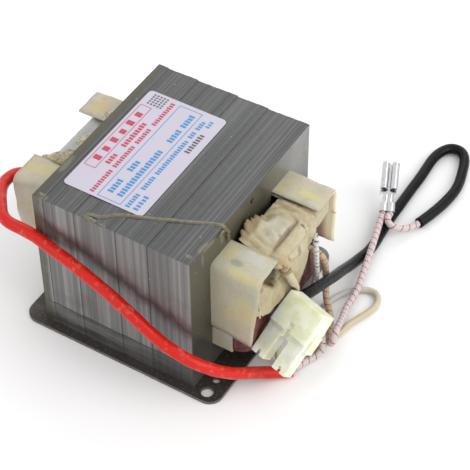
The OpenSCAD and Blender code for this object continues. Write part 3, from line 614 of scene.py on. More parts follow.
def make_piece(name, points, faces, finish, stands_for=(), smooth=True, turns=None):
    """Mesh piece from points in millimetres. turns holds a lead's (turn, distance) for each corner."""
    mesh = bpy.data.meshes.new(name)
    mesh.from_pydata([tuple(float(c) * MM for c in p) for p in points], [], [tuple(int(i) for i in f) for f in faces])
    if turns is not None:
        mesh.uv_layers.new(name="lay").data.foreach_set("uv", [float(v) for pair in turns for v in pair])
    mesh.validate()
    mesh.update()
    piece = bpy.data.objects.new(name, mesh)
    bpy.context.scene.collection.objects.link(piece)
    for material in finish if isinstance(finish, list) else [finish]:
        mesh.materials.append(material)
    if smooth:
        mesh.shade_smooth()
    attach(piece, BODY)
    if stands_for:
        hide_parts(*stands_for)
    return piece


def dress(name, material, bevel=0.0):
    """Gives a solid of the frame a finish, and soft edges where wanted."""
    solid = frame["nodes"][name]
    solid.data.materials.clear()
    solid.data.materials.append(material)
    if bevel:
        soft = solid.modifiers.new("soft edges", "BEVEL")
        soft.width = bevel * MM
        soft.segments = 2
        soft.limit_method = "ANGLE"
        soft.angle_limit = math.radians(40)


def follow(route, step):
    """Smooth curve through a route, as points step millimetres apart, and its length."""
    p = np.asarray(route, float)
    n = len(p)
    h = np.diff(distances(p, 0.5))
    system, right = np.eye(n), np.zeros((n, 3))
    for i in range(1, n - 1):
        system[i, i - 1 : i + 2] = h[i - 1], 2 * (h[i - 1] + h[i]), h[i]
        right[i] = 6 * ((p[i + 1] - p[i]) / h[i] - (p[i] - p[i - 1]) / h[i - 1])
    bend = np.linalg.solve(system, right)
    dense = []
    for i in range(n - 1):
        for b in np.linspace(0, 1, 24, endpoint=False):
            a = 1 - b
            curve = (a**3 - a) * bend[i] + (b**3 - b) * bend[i + 1]
            dense.append(a * p[i] + b * p[i + 1] + h[i] ** 2 / 6 * curve)
    dense = np.array(dense + [p[-1]])
    run = distances(dense)
    places = np.linspace(0, run[-1], max(2, int(round(run[-1] / step))) + 1)
    return np.stack([np.interp(places, run, dense[:, k]) for k in range(3)], axis=1), run[-1]


def side_directions(path):
    """Two side directions at each point of a path, carried along without twist."""
    ahead = np.gradient(path, axis=0)
    ahead /= np.linalg.norm(ahead, axis=1)[:, None]
    start = np.array([0.0, 0.0, 1.0]) if abs(ahead[0][2]) < 0.8 else np.array([1.0, 0.0, 0.0])
    side = np.zeros_like(path)
    for i, forward in enumerate(ahead):
        start = start - forward * np.dot(start, forward)
        start /= np.linalg.norm(start)
        side[i] = start
    return side, np.cross(ahead, side)


def tube(path, radius, sides, wall=0.0, open_end=0.0, shape=None):
    """Points, faces and turns of a round tube. An open end is a bore of the given depth."""
    first, second = side_directions(path)
    run = distances(path)
    last = len(path) - 1
    rings = [(i, 1.0) for i in range(last + 1)]
    if open_end:
        deep = max(0, last - int(open_end / (run[-1] / last)) - 1)
        rings += [(i, 1.0 - wall / radius) for i in range(last, deep - 1, -1)]
    points = []
    for i, share in rings:
        for angle in np.arange(sides) * math.tau / sides:
            out = math.cos(angle) * first[i] + math.sin(angle) * second[i]
            swell = shape(run[i], angle, out, i) if shape and share == 1.0 else 1.0
            points.append(path[i] + radius * share * swell * out)
    places = [run[i] / 1000.0 for i, _ in rings]
    faces, turns = [], []
    for i in range(len(rings) - 1):
        near, far = i * sides, (i + 1) * sides
        for k in range(sides):
            other = (k + 1) % sides
            faces.append((near + k, near + other, far + other, far + k))
            turns += [(turn / sides, places[i + way]) for turn, way in ((k, 0), (k + 1, 0), (k + 1, 1), (k, 1))]
    for start, place in ((0, places[0]), (len(points) - sides, places[-1])):
        loop = range(start, start + sides)
        faces.append(tuple(loop if start else reversed(loop)))
        turns += [(k / sides, place) for k in range(sides)]
    return points, faces, turns


def make_lead(name, route, diameter, finish, slot, node_name, far_end, step=1.0, sides=16, stiffness="medium",
              with_pieces=(), **form):
    """One lead as a mesh tube on its route."""
    path, length = follow(route, step)
    points, faces, turns = tube(path, diameter / 2, sides, **form)
    material = finish(length) if callable(finish) else finish
    piece = make_piece(name, points, faces, material, [node_name], turns=turns)
    if far_end:
        [tuple(p * MM) for p in path]


def thick_sheet(grid, thickness):
    """Points and faces of a sheet with the given thickness below a grid of points."""
    grid = np.asarray(grid, float)
    normal = np.cross(np.gradient(grid, axis=0), np.gradient(grid, axis=1))
    normal /= np.maximum(np.linalg.norm(normal, axis=2), 1e-9)[:, :, None]
    under = grid - normal * thickness
    points = np.concatenate([grid.reshape(-1, 3), under.reshape(-1, 3)])
    rows, columns = grid.shape[:2]
    total = rows * columns
    index = np.arange(total).reshape(rows, columns)
    faces = []
    for i in range(rows - 1):
        for j in range(columns - 1):
            a, b, c, d = index[i, j], index[i + 1, j], index[i + 1, j + 1], index[i, j + 1]
            faces += [(a, b, c, d), (d + total, c + total, b + total, a + total)]
    rim = [*index[0], *index[1:, -1], *index[-1, -2::-1], *index[-2:0:-1, 0]]
    faces += [(here, there, there + total, here + total) for here, there in zip(rim, rim[1:] + rim[:1])]
    return points, faces


def join(points, faces, more_points, more_faces):
    """Adds points and faces to lists of them."""
    start = len(points)
    points.extend(more_points)
    faces.extend(tuple(i + start for i in face) for face in more_faces)


def coil_path(half_x, radius, step, corner=8, inner_x=INNER_X):
    """Closed plan of a coil: points, outward directions, and the matching points of the leg's hole."""
    points, outs, inners = [], [], []
    signs = np.array([(1, 1), (-1, 1), (-1, -1), (1, -1)])
    centre, hole = np.array([half_x - radius, COIL_Y - radius]), np.array([inner_x, INNER_Y])
    for quarter, sign in enumerate(signs):
        for k in range(corner + 1):
            angle = quarter * math.pi / 2 + k * math.pi / 2 / corner
            out = np.array([math.cos(angle), math.sin(angle)])
            points.append(sign * centre + radius * out)
            outs.append(out)
            inners.append(sign * hole)
        following = signs[(quarter + 1) % 4]
        first, target = points[-1], following * centre + radius * out
        parts = max(1, int(np.linalg.norm(target - first) / step))
        for share in np.arange(1, parts) / parts:
            points.append(first + (target - first) * share)
            outs.append(out)
            inners.append(sign * hole + (following - sign) * hole * share)
    return np.array(points), np.array(outs), np.array(inners)


def swept_ring(plan, section, shift):
    """Points and faces of a closed ring. section holds (share inwards, outward offset, height)."""
    outer, outs, inner = plan
    count, size = len(outer), len(section)
    points, faces = [], []
    for i in range(count):
        for share, offset, height in section:
            flat = outer[i] * (1 - share) + inner[i] * share + outs[i] * offset
            outward, upward = shift(i, flat, height, share)
            points.append((*(flat + outs[i] * outward), height + upward))
        near, far = i * size, (i + 1) % count * size
        for j in range(size):
            other = (j + 1) % size
            faces.append((near + j, far + j, far + other, near + other))
    return points, faces


# ---------------------------------------------------------------- settings


def length_setting(name, description, start):
    return bpy.props.FloatProperty(
        name=name, description=description, default=start * MM, min=0.0002, unit="LENGTH", precision=4
    )


def colour_setting(name, description, start):
    return bpy.props.FloatVectorProperty(
        name=name, description=description, default=start, size=3, subtype="COLOR", min=0, max=1
    )


class LeadSettings(bpy.types.PropertyGroup):
    """Sizes of the leads, the same as in the solids."""

    red: length_setting("Red sleeve", "Outside diameter of the red sleeve", 5.1)
    black: length_setting("Black sleeve", "Outside diameter of the black sleeve", 4.7)
    braid: length_setting("Braided lead", "Outside diameter of the braided leads", 2.9)
    white: length_setting("Silicone lead", "Outside diameter of the white silicone lead", 2.6)
    cream: length_setting("Cream sleeve", "Outside diameter of the sleeve on the silicone lead", 3.4)
    wall: length_setting("Sleeve wall", "Thickness of the wall of the sleeves", 0.6)


class CoilSettings(bpy.types.PropertyGroup):
    """Sizes of the windings and their insulation."""

    wire: length_setting("Wire pitch", "Height of one turn on the primary winding", 1.04)
    tape: length_setting("Tape step", "Height of one lap of tape on the secondary winding", 0.22)
    sheet: length_setting("Sheet", "Thickness of the insulating sheets", 0.7)
    cloth: length_setting("Cloth", "Thickness of the cloth over the leads", 0.4)


class FinishSettings(bpy.types.PropertyGroup):
    """Ground colours of the finishes."""

    plate: colour_setting("Plate", "Colour of the varnished base plate", (0.045, 0.04, 0.037))
    wire: colour_setting("Wire", "Colour of the enamelled wire", (0.075, 0.011, 0.010))
    sheet: colour_setting("Sheet", "Colour of the insulating sheets", (0.44, 0.405, 0.29))
    cloth: colour_setting("Cloth", "Colour of the varnished cloth", (0.41, 0.35, 0.203))
    label: colour_setting("Label", "Colour of the label", (0.50, 0.465, 0.555))
    red: colour_setting("Red sleeve", "Colour of the red sleeve", (0.60, 0.010, 0.004))
    black: colour_setting("Black sleeve", "Colour of the black sleeve", (0.004, 0.004, 0.005))
    nylon: colour_setting("Nylon", "Colour of the connector housing", (0.80, 0.82, 0.67))


# ---------------------------------------------------------------- operators


class Step:
    """What the operators share: each builds its pieces from the settings of the scene."""

    def execute(self, context):
        scene = context.scene
        self.build(scene.transformer_leads, scene.transformer_coils, scene.transformer_finishes)
        return {"FINISHED"}


class TRANSFORMER_OT_camera(Step, bpy.types.Operator):
    """Place the camera where the photograph was taken from"""

    bl_idname = "transformer.camera"
    bl_label = "Camera"

    def build(self, leads, coils, colours):
        scene = bpy.context.scene
        data = bpy.data.cameras.new("photo camera")
        data.sensor_width, data.lens = CAMERA_SENSOR, CAMERA_LENS
        data.clip_start, data.clip_end = 0.05, 20.0
        camera = bpy.data.objects.new("photo camera", data)
        scene.collection.objects.link(camera)
        around, above, roll = map(math.radians, (CAMERA_AROUND, CAMERA_ABOVE, CAMERA_ROLL))
        forward = Vector((-math.sin(around) * math.cos(above), math.cos(around) * math.cos(above), -math.sin(above)))
        right = forward.cross(Vector((0, 0, 1))).normalized()
        up = right.cross(forward)
        level = math.cos(roll) * right + math.sin(roll) * up
        raised = -math.sin(roll) * right + math.cos(roll) * up
        turn = Matrix((level, raised, -forward)).transposed().to_4x4()
        camera.matrix_world = Matrix.Translation(Vector(CAMERA_AT) * MM) @ turn
        scene.camera = camera


class TRANSFORMER_OT_leads(Step, bpy.types.Operator):
    """Lay the sleeved, braided and silicone leads on their routes"""

    bl_idname = "transformer.leads"
    bl_label = "Leads"

    def build(self, leads, coils, colours):
        braid, wall = leads.braid / MM, leads.wall / MM
        pink, tan, cream, white = (0.62, 0.52, 0.51), (0.50, 0.34, 0.19), (0.54, 0.46, 0.28), (0.56, 0.545, 0.525)
        cream_stops = ((0.0, (0.34, 0.23, 0.10)), (0.2, (0.5, 0.41, 0.24)), (0.5, cream), (1.0, cream))
        white_stops = (
            (0.0, cream), (0.3, cream), (0.5, (0.52, 0.45, 0.28)), (0.58, (0.5, 0.46, 0.36)), (0.62, white),
            (1.0, white),
        )
        heater_stops = ((0.0, tan), (0.27, tan), (0.4, (0.52, 0.38, 0.28)), (0.46, pink), (1.0, pink))
        heater_threads = [(0.4, (0.13, 0.05, 0.025)), (0.46, (0.22, 0.03, 0.05))]

        def pink_braid(name):
            return lambda length: braid_finish(name, ((0.0, pink), (1.0, (0.64, 0.54, 0.53))), length)

        def swollen(run, angle, out, index):
            return 1.0 + 0.07 * ripple(run / 5.0 + 3.0, math.cos(angle) * 0.8, math.sin(angle) * 0.8)

        black_step = 0.7
        path, _ = follow(BLACK_ROUTE, black_step)
        bend = np.gradient(np.gradient(path, axis=0), axis=0) / black_step**2

        def wrinkled(run, angle, out, index):
            tight = float(np.dot(bend[index], out))
            crease = max(0.0, min(1.0, tight / 0.09)) * 0.06 * (0.5 + 0.5 * math.sin(run * math.tau / 2.6))
            return 1.0 + 0.035 * ripple(run / 8.0, math.cos(angle), math.sin(angle)) - crease

        red = sleeving_finish("red sleeving", colours.red, (0.72, 0.19, 0.12), 0.6, (0.3, 0.46), 0.3)
        black = sleeving_finish("black sleeving", colours.black, (0.016, 0.017, 0.02), 0.35, (0.26, 0.4), 0.16)
        make_lead("cream_lead_sleeve", CREAM_ROUTE, leads.cream / MM,
                  lambda length: braid_finish("cream sleeve", cream_stops, length, (0.42, 0.35, 0.2), 2.4, 0.05),
                  "white_silicone", "cream_sleeve", None, wall=0.4, open_end=3.0)
        make_lead("silicone_lead", WHITE_ROUTE, leads.white / MM,
                  lambda length: silicone_finish("white silicone", white_stops, length, (0.8, 1.01)),
                  "white_silicone", "white_lead", "object", stiffness="limp", with_pieces=["cream_lead_sleeve"])
        make_lead("heater_braid", HEATER_ROUTE, braid,
                  lambda length: braid_finish("heater braid", heater_stops, length, heater_threads, 3.2),
                  "braided_lead", "heater_lead", "fitting", with_pieces=["spade_terminal"])
        make_lead("red_lead_sleeve", RED_ROUTE, leads.red / MM, red, "red_sleeving", "red_sleeve", "bare", sides=24,
                  stiffness="stiff", wall=wall, open_end=7.0, shape=swollen)
        make_lead("red_lead_tail", RED_TAIL_ROUTE, braid, pink_braid("red lead braid"), "braided_lead", "red_tail",
                  "connector", with_pieces=["connector_housing", "connector_contacts"])
        make_lead("black_lead_tail", BLACK_TAIL_ROUTE, braid, pink_braid("black lead braid"), "braided_lead",
                  "black_tail", None)
        make_lead("black_lead_sleeve", BLACK_ROUTE, leads.black / MM, black, "black_sleeving", "black_sleeve",
                  "object", black_step, 24, "stiff", ["black_lead_tail"], wall=wall, open_end=8.0, shape=wrinkled)


class TRANSFORMER_OT_core(Step, bpy.types.Operator):
    """Give the lamination stack, its bar, the shunts and the base plate their finishes"""

    bl_idname = "transformer.core"
    bl_label = "Core and plate"

    def build(self, leads, coils, colours):
        steel = lamination_finish()
        for name in ("e_core", "closing_bar", "shunt_front", "shunt_back"):
            dress(name, steel)
        dress("base_plate", plate_finish(colours), bevel=0.35)


TAPE_MARKS = (
    ((-47, 6, 58), (11, 24, 9), (0.40, 0.42, 0.43), 0.55), ((-40, -2, 59), (4, 8, 3), (0.27, 0.20, 0.08), 0.7),
    ((-41, 17, 59), (4.5, 7, 3), (0.27, 0.20, 0.08), 0.6), ((-50, -12, 59), (5, 4, 3), (0.34, 0.27, 0.11), 0.6),
)


class TRANSFORMER_OT_windings(Step, bpy.types.Operator):
    """Wind the primary from its turns and wrap the secondary in tape"""

    bl_idname = "transformer.windings"
    bl_label = "Windings"

    def build(self, leads, coils, colours):
        wire = wire_finish(colours)
        self.primary(wire, coils.wire / MM)
        tape = cloth_finish(colours, "cloth tape", (0.37, 0.36, 0.345), (0.41, 0.41, 0.41), 0.2, TAPE_MARKS)
        self.secondary(tape, coils.tape / MM)
        dress("secondary_winding", wire)
        dress("heater_winding", cloth_finish(colours, "heater turns", pale=(0.5, 0.4, 0.28)))

    def primary(self, finish, wire):
        """Coil whose outside and top show each turn of the wire."""
        layers = max(4, round((PRIMARY_TOP - PRIMARY_Z) / wire))
        pitch = (PRIMARY_TOP - PRIMARY_Z) / layers
        turns = 13
        section = []
        for k in range(layers):
            for angle in map(math.radians, range(-75, 76, 25)):
                height = PRIMARY_Z + (k + 0.5 + math.sin(angle) / 2) * pitch
                section.append((0.0, -pitch / 2 * (1 - math.cos(angle)), height))
        for k in range(turns):
            for angle in map(math.radians, range(-60, 61, 30)):
                share = (k + 0.5 + math.sin(angle) / 2) / turns
                section.append((share, 0.0, PRIMARY_TOP - pitch / 2 * (1 - math.cos(angle))))
        section += [(1.0, 0.0, PRIMARY_TOP - 0.5), (1.0, 0.0, PRIMARY_Z + 0.5)]
        section += [(k / turns, 0.0, PRIMARY_Z + 0.1 + 0.15 * (k % 2)) for k in range(turns - 1, 0, -1)]

        def lay(i, flat, height, share):
            x, y = flat
            free = smoothstep(37.0, 46.0, abs(x))
            layer = math.floor((height - PRIMARY_Z) / pitch)
            drift = ripple(x * 0.07, y * 0.07, layer * 3.7)
            inward = -0.22 * (1 + ripple(x * 0.05, y * 0.09, layer * 5.1)) * (1 - share)
            sink = -0.12 * (1 + drift) if share > 0.02 and height > 25 else drift * 0.12
            return inward * free, sink * free

        points, faces = swept_ring(coil_path(PRIMARY_X, PRIMARY_R, 4.0), section, lay)
        make_piece("primary_coil", points, faces, finish, ["primary_winding"])

    def secondary(self, finish, lap):
        """Coil in laps of tape, with rounded edges."""
        r = 2.2
        arc = [(r * (1 - math.cos(k * math.pi / 12)), r * (1 - math.sin(k * math.pi / 12))) for k in range(1, 7)]
        rise = (SECONDARY_TOP - SECONDARY_Z - 2 * r) / 9
        section = [(0.0, 0.0, SECONDARY_Z + r + k * rise) for k in range(10)]
        section += [(0.0, -inward, SECONDARY_TOP - down) for inward, down in arc]
        section += [(share / 10, 0.0, SECONDARY_TOP) for share in range(3, 11)]
        section += [(1.0, 0.0, SECONDARY_TOP - 6), (1.0, 0.0, SECONDARY_Z + 6)]
        section += [(share / 10, 0.0, SECONDARY_Z) for share in range(10, 2, -1)]
        section += [(0.0, -inward, SECONDARY_Z + up) for inward, up in reversed(arc)]
        plan = coil_path(SECONDARY_X, SECONDARY_R, 1.6, corner=14, inner_x=SECONDARY_INNER)
        run = distances(plan[0])

        def wrap(i, flat, height, share):
            slanted = run[i] + (height - SECONDARY_Z) * 0.22
            dent = -0.45 * (0.5 + 0.5 * turbulent(flat[0] * 0.11, flat[1] * 0.11, height * 0.14))
            depth = (dent - lap * ((slanted / 9.0) % 1.0)) * smoothstep(36.5, 41.0, abs(flat[0]))
            if share <= 0.02:
                return depth, 0.0
            sign = 1.0 if height > (SECONDARY_TOP + SECONDARY_Z) / 2 else -1.0
            return 0.0, sign * depth * (share < 0.98)

        points, faces = swept_ring(plan, section, wrap)
        make_piece("secondary_tape", points, faces, finish, ["secondary_wrap"])


# edges of the front (-1) and back (1) insulating sheets: half width at a height, and lower edge at a place on X
SHEET_LEFT = ((28.5, 54.3), (50.3, 57.3), (60.3, 57.3))
SHEET_RIGHT = {-1: ((23.7, 54.4), (52.3, 57.3), (60.3, 57.3)), 1: ((20.0, 57.3), (60.3, 57.3))}
SHEET_FOOT = {
    -1: ((-57.3, 28.5), (-36, 26.5), (36, 26.5), (54.4, 23.7), (57.3, 23.7)),
    1: ((-57.3, 28.5), (-36, 26.5), (36, 26.5), (45, 29.1), (57.3, 30.5)),
}
# inner edge of the folded corner of the front sheet, y and z
FLAP_EDGE = (
    (15.5, 60.1), (16.1, 58.9), (17.0, 57.8), (19.6, 55.6), (22.0, 53.8), (23.8, 52.3), (25.6, 50.0), (27.0, 48.1),
    (28.3, 46.3), (29.0, 44.8), (29.6, 43.2), (30.1, 41.9),
)


class TRANSFORMER_OT_sheets(Step, bpy.types.Operator):
    """Fold the insulating sheets that line the windows of the core"""

    bl_idname = "transformer.sheets"
    bl_label = "Insulating sheets"

    def build(self, leads, coils, colours):
        paper = sheet_finish(colours)
        for name, sign in (("front", -1), ("back", 1)):
            points, faces = thick_sheet(self.folded(sign)[::-sign], coils.sheet / MM)
            points = list(points)
            if sign < 0:
                join(points, faces, *self.end_flap())
            make_piece("slot_sheet_" + name, points, faces, paper, ["slot_liner_" + name])
            dress("primary_liner_" + name, paper)

    def fold(self, angle):
        """Point of the rounded fold: y and z, and the direction that it faces."""
        y, z = math.sin(angle), math.cos(angle)
        return WINDOW_Y - FOLD_R + FOLD_R * y, WINDOW_TOP - FOLD_R + FOLD_R * z, y, z

    def folded(self, sign):
        """Grid of the sheet: columns along X, rows from the leg's side over the fold and down."""
        across = [(y, WINDOW_TOP, 0.0, 1.0) for y in np.linspace(LEG_Y + 0.1, WINDOW_Y - FOLD_R, 9)]
        across += [self.fold(k * math.pi / 12) for k in range(1, 6)]
        top = WINDOW_TOP - FOLD_R
        rows = []
        for u in np.arange(-36, 37) / 36.0:
            low = at(SHEET_FOOT[sign], u * END_X)
            line = [self.lie(sign, u * END_X, *place) for place in across]
            for z in [top - (top - low) * k / 16 for k in range(17)]:
                reach = at(SHEET_RIGHT[sign] if u > 0 else SHEET_LEFT, z)
                line.append(self.lie(sign, u * reach, WINDOW_Y, z, 1.0, 0.0))
            rows.append(line)
        return np.array(rows)

    def lie(self, sign, x, y, z, ny, nz):
        """Place of a point of the sheet after its waves."""
        free = smoothstep(37.0, 56.0, abs(x))
        wave = turbulent(x * 0.06 + 7 * sign, y * 0.05, z * 0.06 + 2) * 0.75 * free
        curl = 0.5 * smoothstep(50.0, 57.5, abs(x)) * ripple(x * 0.02, y * 0.2 + 3 * sign, z * 0.15)
        push = min(wave + curl, 0.6)
        if nz > 0.5:
            push = min(push, 0.35) - 0.25 * free
        return np.array([x, sign * (y + ny * push), z + nz * push])

    def end_flap(self):
        """Corner of the front sheet that is folded over its open end."""
        outer = [(y, WINDOW_TOP, 0.0, 1.0) for y in (15.4, 22.0, 28.3)]
        outer += [self.fold(k * math.pi / 8) for k in range(1, 5)]
        outer += [(WINDOW_Y, z, 1.0, 0.0) for z in (55.0, 51.0, 47.0, 44.0, 41.9)]
        rows = []
        for t in np.linspace(0, len(outer) - 1, 34):
            first = self.lie(-1, END_X, *between(outer, t))
            y, z = between(FLAP_EDGE, t)
            bend = smoothstep(43.5, 52.5, z)
            last = np.array([END_X, -y, z + 0.35 * ripple(t * 1.3, 2.0, 5.0)])
            line = [first + (last - first) * s for s in np.linspace(0, 1, 11)]
            for s, here in zip(np.linspace(0, 1, 11), line):
                here[0] += 0.3 * s * turbulent(here[1] * 0.12, here[2] * 0.12, 4.0)
                here[0] += 0.35 * s * (1 - bend) - 3.0 * bend * s**1.3
            rows.append(line)
        return thick_sheet(rows, 0.6)


# the cloth: its edge and width along Y, the columns and rows of its grid, and the height of its hem at a place on Y
CLOTH_FROM, CLOTH_WIDTH = -29.3, 56.3
CLOTH_COLUMNS, CLOTH_ROWS = 112, 84
CLOTH_HEM = (
    (-29.3, 40), (-22, 36.5), (-14.5, 34.5), (-9, 35), (-6, 32.6), (-4, 31), (-1, 29.9), (2, 29.5), (4, 33), (7, 35),
    (8.6, 38), (9.4, 44), (10.4, 49), (13, 50.5), (19, 51), (27, 52.6),
)
BROWN = (0.20, 0.13, 0.055)
CLOTH_MARKS = (
    ((57, 2, 52), (5, 14, 9), (0.50, 0.44, 0.285), 0.7), ((47.5, -1, 59.6), (8, 8.5, 4), (0.46, 0.425, 0.325), 0.85),
    ((50.6, -3.1, 59.8), (1.1, 1.1, 2), (0.2, 0.19, 0.16), 0.6),
    # dark brown along the cloth's inner edge by the yoke: painted shade
    ((39.0, -6, 61.5), (3.2, 10, 5.5), (0.20, 0.14, 0.06), 0.9),
    # very dark brown inside the pocket (first mark below): painted shade
    ((53.5, -17.6, 52.6), (6, 4.6, 8.5), (0.085, 0.052, 0.02), 0.97), ((57, -6.9, 52.1), (5, 1.3, 3.6), BROWN, 0.8),
    # dark brown in the valley beside the rolled edge (second mark below): painted shade
    ((57, 1.8, 49.8), (5, 1.5, 3.2), BROWN, 0.7), ((52.4, -2, 59.4), (1.7, 11, 3), (0.17, 0.115, 0.05), 0.8),
    # near black in the small pit of the hole: painted shade
    ((55.3, 6.6, 59.2), (1.3, 1.3, 2), (0.07, 0.06, 0.025), 0.95),
    ((58.5, -13.6, 58.4), (4, 3.2, 3), (0.46, 0.33, 0.15), 0.8),
    ((57, -12.5, 49), (4, 1.4, 5), BROWN, 0.6), ((57, -3, 32), (4, 7, 2.4), (0.27, 0.19, 0.09), 0.6),
    ((57, 6, 56.5), (5, 1.0, 3.6), BROWN, 0.6), ((57, -10.2, 53.5), (5, 0.8, 3.0), BROWN, 0.75),
    ((46, 11.5, 59.5), (6, 1.6, 2), (0.30, 0.23, 0.11), 0.6), ((41, 4.5, 60.5), (4.2, 5.5, 3), (0.24, 0.19, 0.10), 0.6),
)


class TRANSFORMER_OT_lead_cloth(Step, bpy.types.Operator):
    """Drape the torn cloth over the coil's end and the joints of the leads"""

    bl_idname = "transformer.lead_cloth"
    bl_label = "Cloth over the leads"

    def build(self, leads, coils, colours):
        places = CLOTH_FROM + CLOTH_WIDTH * np.arange(CLOTH_COLUMNS) / (CLOTH_COLUMNS - 1)
        grid = np.array([self.strip(y) for y in places]).transpose(1, 0, 2)
        points, faces = thick_sheet(grid, -coils.cloth / MM)
        faces = [tuple(reversed(f)) for f in faces]
        finish = cloth_finish(colours, dark=0.55, marks=CLOTH_MARKS)
        cloth = make_piece("lead_cloth", points, faces, finish, ["lead_cover", "cloth_flap"])
        down, over = np.diff(grid, axis=0), np.diff(grid, axis=1)
        along = np.linalg.norm(down, axis=2).sum(axis=0)
        wide = np.linalg.norm(over, axis=2).sum(axis=1)
        area = np.linalg.norm(np.cross(down[:, :-1], over[:-1]), axis=2).sum()

    def strip(self, y):
        """Points of the cloth at one place on Y, from its inner edge over the fold and down to the hem."""
        low = at(CLOTH_HEM, y) + 0.8 * ripple(y * 0.9, 3.0, 1.0) + 0.5 * ripple(y * 2.6, 1.0, 6.0)
        under = smoothstep(14.2, 15.6, abs(y))
        start, top = SECONDARY_INNER + 11.0 * under, 59.55 - 0.4 * under
        back = 6.0 - math.sqrt(max(0.0, 36.0 - max(0.0, abs(y) - 23.3) ** 2))
        wall, r = 56.4 - back, 3.4 - 0.8 * under
        flat, arc = wall - r - start, r * math.pi / 2
        total = flat + arc + top - r - low
        ragged = 0.8 + 0.45 * ripple(y * 0.6, 0.0, 9.0) + 0.3 * ripple(y * 1.6, 4.0, 9.0)
        torn = 5.0 * max(0.0, 1 - ((y + 6.5) / 9.5) ** 2) * ragged * (1 - under)
        points = []
        for s in total * np.arange(CLOTH_ROWS) / (CLOTH_ROWS - 1):
            angle = min(max(0.0, (s - flat) / r), math.pi / 2)
            nx, nz = (math.sin(angle), math.cos(angle)) if s < flat + arc else (1.0, 0.0)
            x = wall - r + min(0.0, s - flat) + r * nx
            z = top - r + r * nz - max(0.0, s - flat - arc)
            push = self.folds(x, y, z, nz)
            if under > 0.3 and nz > 0.2:
                push = min(push, 0.0)
            out = x + nx * push + self.hoods(y, z) - 0.5 * torn * math.exp(-s / 0.9)
            up = z + nz * push + torn * math.exp(-s / 1.5)
            points.append((out, y + 0.3 * ripple(x * 0.3, y * 0.3, z * 0.3), up))
        return points

    def hoods(self, y, z):
        """How far the cloth stands out round the upper ends of the cream sleeve and the white lead."""
        sleeve = 4.3 * math.exp(-(((y + 14.1) / 2.3) ** 4)) * smoothstep(55.0, 56.3, z) * smoothstep(59.55, 59.2, z)
        lead = 1.3 * math.exp(-(((y - 11.9) / 2.0) ** 4)) * smoothstep(48.4, 49.6, z) * smoothstep(55.0, 52.4, z)
        return sleeve + lead

    def folds(self, x, y, z, nz):
        """Rumples of the stiff cloth: ripples round the smooth patch, a rolled edge, a fan of pleats and a pocket."""
        rough, upper = 0.45 + 0.55 * nz, nz > 0.5
        value = 0.3 * rough * turbulent(y * 0.16, x * 0.14, z * 0.14 + 1.5)
        value += 0.4 * rough * (0.5 - abs(ripple(y * 0.2 + x * 0.09, x * 0.12 - y * 0.05, z * 0.09)) * 2.4)
        if z > 58.0:
            around = math.hypot((x - 47.5) / 8.0, (y + 1.0) / 8.5)
            rings = math.cos(around * 15.0 + 3.5 * ripple(x * 0.17, y * 0.17, 3.0)) * smoothstep(0.85, 1.05, around)
            value += 0.35 * math.exp(-(around**4)) + 0.17 * rings + 0.12 * turbulent(x * 0.3, y * 0.3, 8.0)
        along = smoothstep(-16.0, -12.0, y) * smoothstep(8.5, 5.5, y)
        value += 1.0 * along * math.exp(-((x - 55.2) ** 2 + (z - 59.0) ** 2) / 4.0)
        value -= 0.55 * along * math.exp(-((x - 52.0) ** 2) / 2.2) * upper
        value -= 1.5 * math.exp(-((y - 6.6) ** 2) / 1.4 - ((x - 55.3) ** 2 + (z - 59.2) ** 2) / 1.6)
        away, turn = math.hypot(y + 13.5, z - 57.0), math.atan2(57.0 - z, y + 13.5)
        pleat = 0.5 - abs(math.sin(turn * 6.5 + 1.2 * ripple(y * 0.08, z * 0.08, 7.0)))
        value += 0.85 * pleat * smoothstep(2.0, 7.0, away) * smoothstep(36.0, 14.0, away) * smoothstep(58.4, 56.0, z)
        line = 52.5 - 0.81 * (y + 24.0) if y > -24.0 else 52.5 + 1.2 * (y + 24.0)
        pocket = smoothstep(0.0, 1.3, z - line) * smoothstep(-13.4, -15.2, y)
        value = min(value * (1 - pocket) - 3.3 * pocket, 1.6)
        return max(value, -0.45 if upper else -3.4)


# print on the label, in red (0), blue (1) and black (2): ink and two edges, and then either the other two edges
# of a frame, or the width of a bar, its gap and the stretches that a line of bars fills
LABEL_CORNER, PRINT_LEVELS, FRAME_LINE = (-30, -33.15), (CORE_TOP + 0.19, CORE_TOP + 0.235), 0.3
LABEL_PRINT = (
    (0, 1.2, 6.6, 12.8, 53.4),
    (0, 2.2, 5.6, 2.6, 3.2, (17.2, 49.0)),
    (0, 7.9, 10.2, 1.15, 0.45, (17.6, 24.8), (28.8, 45.8)),
    (0, 11.6, 13.6, 0.95, 0.45, (1.6, 15.4), (17.2, 31.2), (33.0, 42.8), (45.2, 60.4)),
    (1, 15.5, 26.4, 1.2, 60.8),
    (1, 17.6, 20.2, 1.15, 0.5, (5.0, 13.6), (18.6, 25.4)),
    (1, 22.0, 24.6, 1.15, 0.5, (5.0, 35.6), (40.2, 48.0), (50.2, 58.2)),
    (1, 28.0, 30.1, 0.95, 0.45, (1.6, 10.8), (12.6, 20.6), (22.4, 44.8), (46.4, 50.2), (52.0, 57.4)),
    (1, 31.6, 33.8, 1.1, 0.7, (1.8, 10.6)),
    (1, 31.0, 32.8, 0.9, 0.6, (55.0, 60.0)),
    (2, 31.4, 33.8, 0.95, 0.6, (38.6, 50.6)),
)
BOX_FACES = ((3, 2, 1, 0), (4, 5, 6, 7), (0, 1, 5, 4), (1, 2, 6, 5), (2, 3, 7, 6), (3, 0, 4, 7))


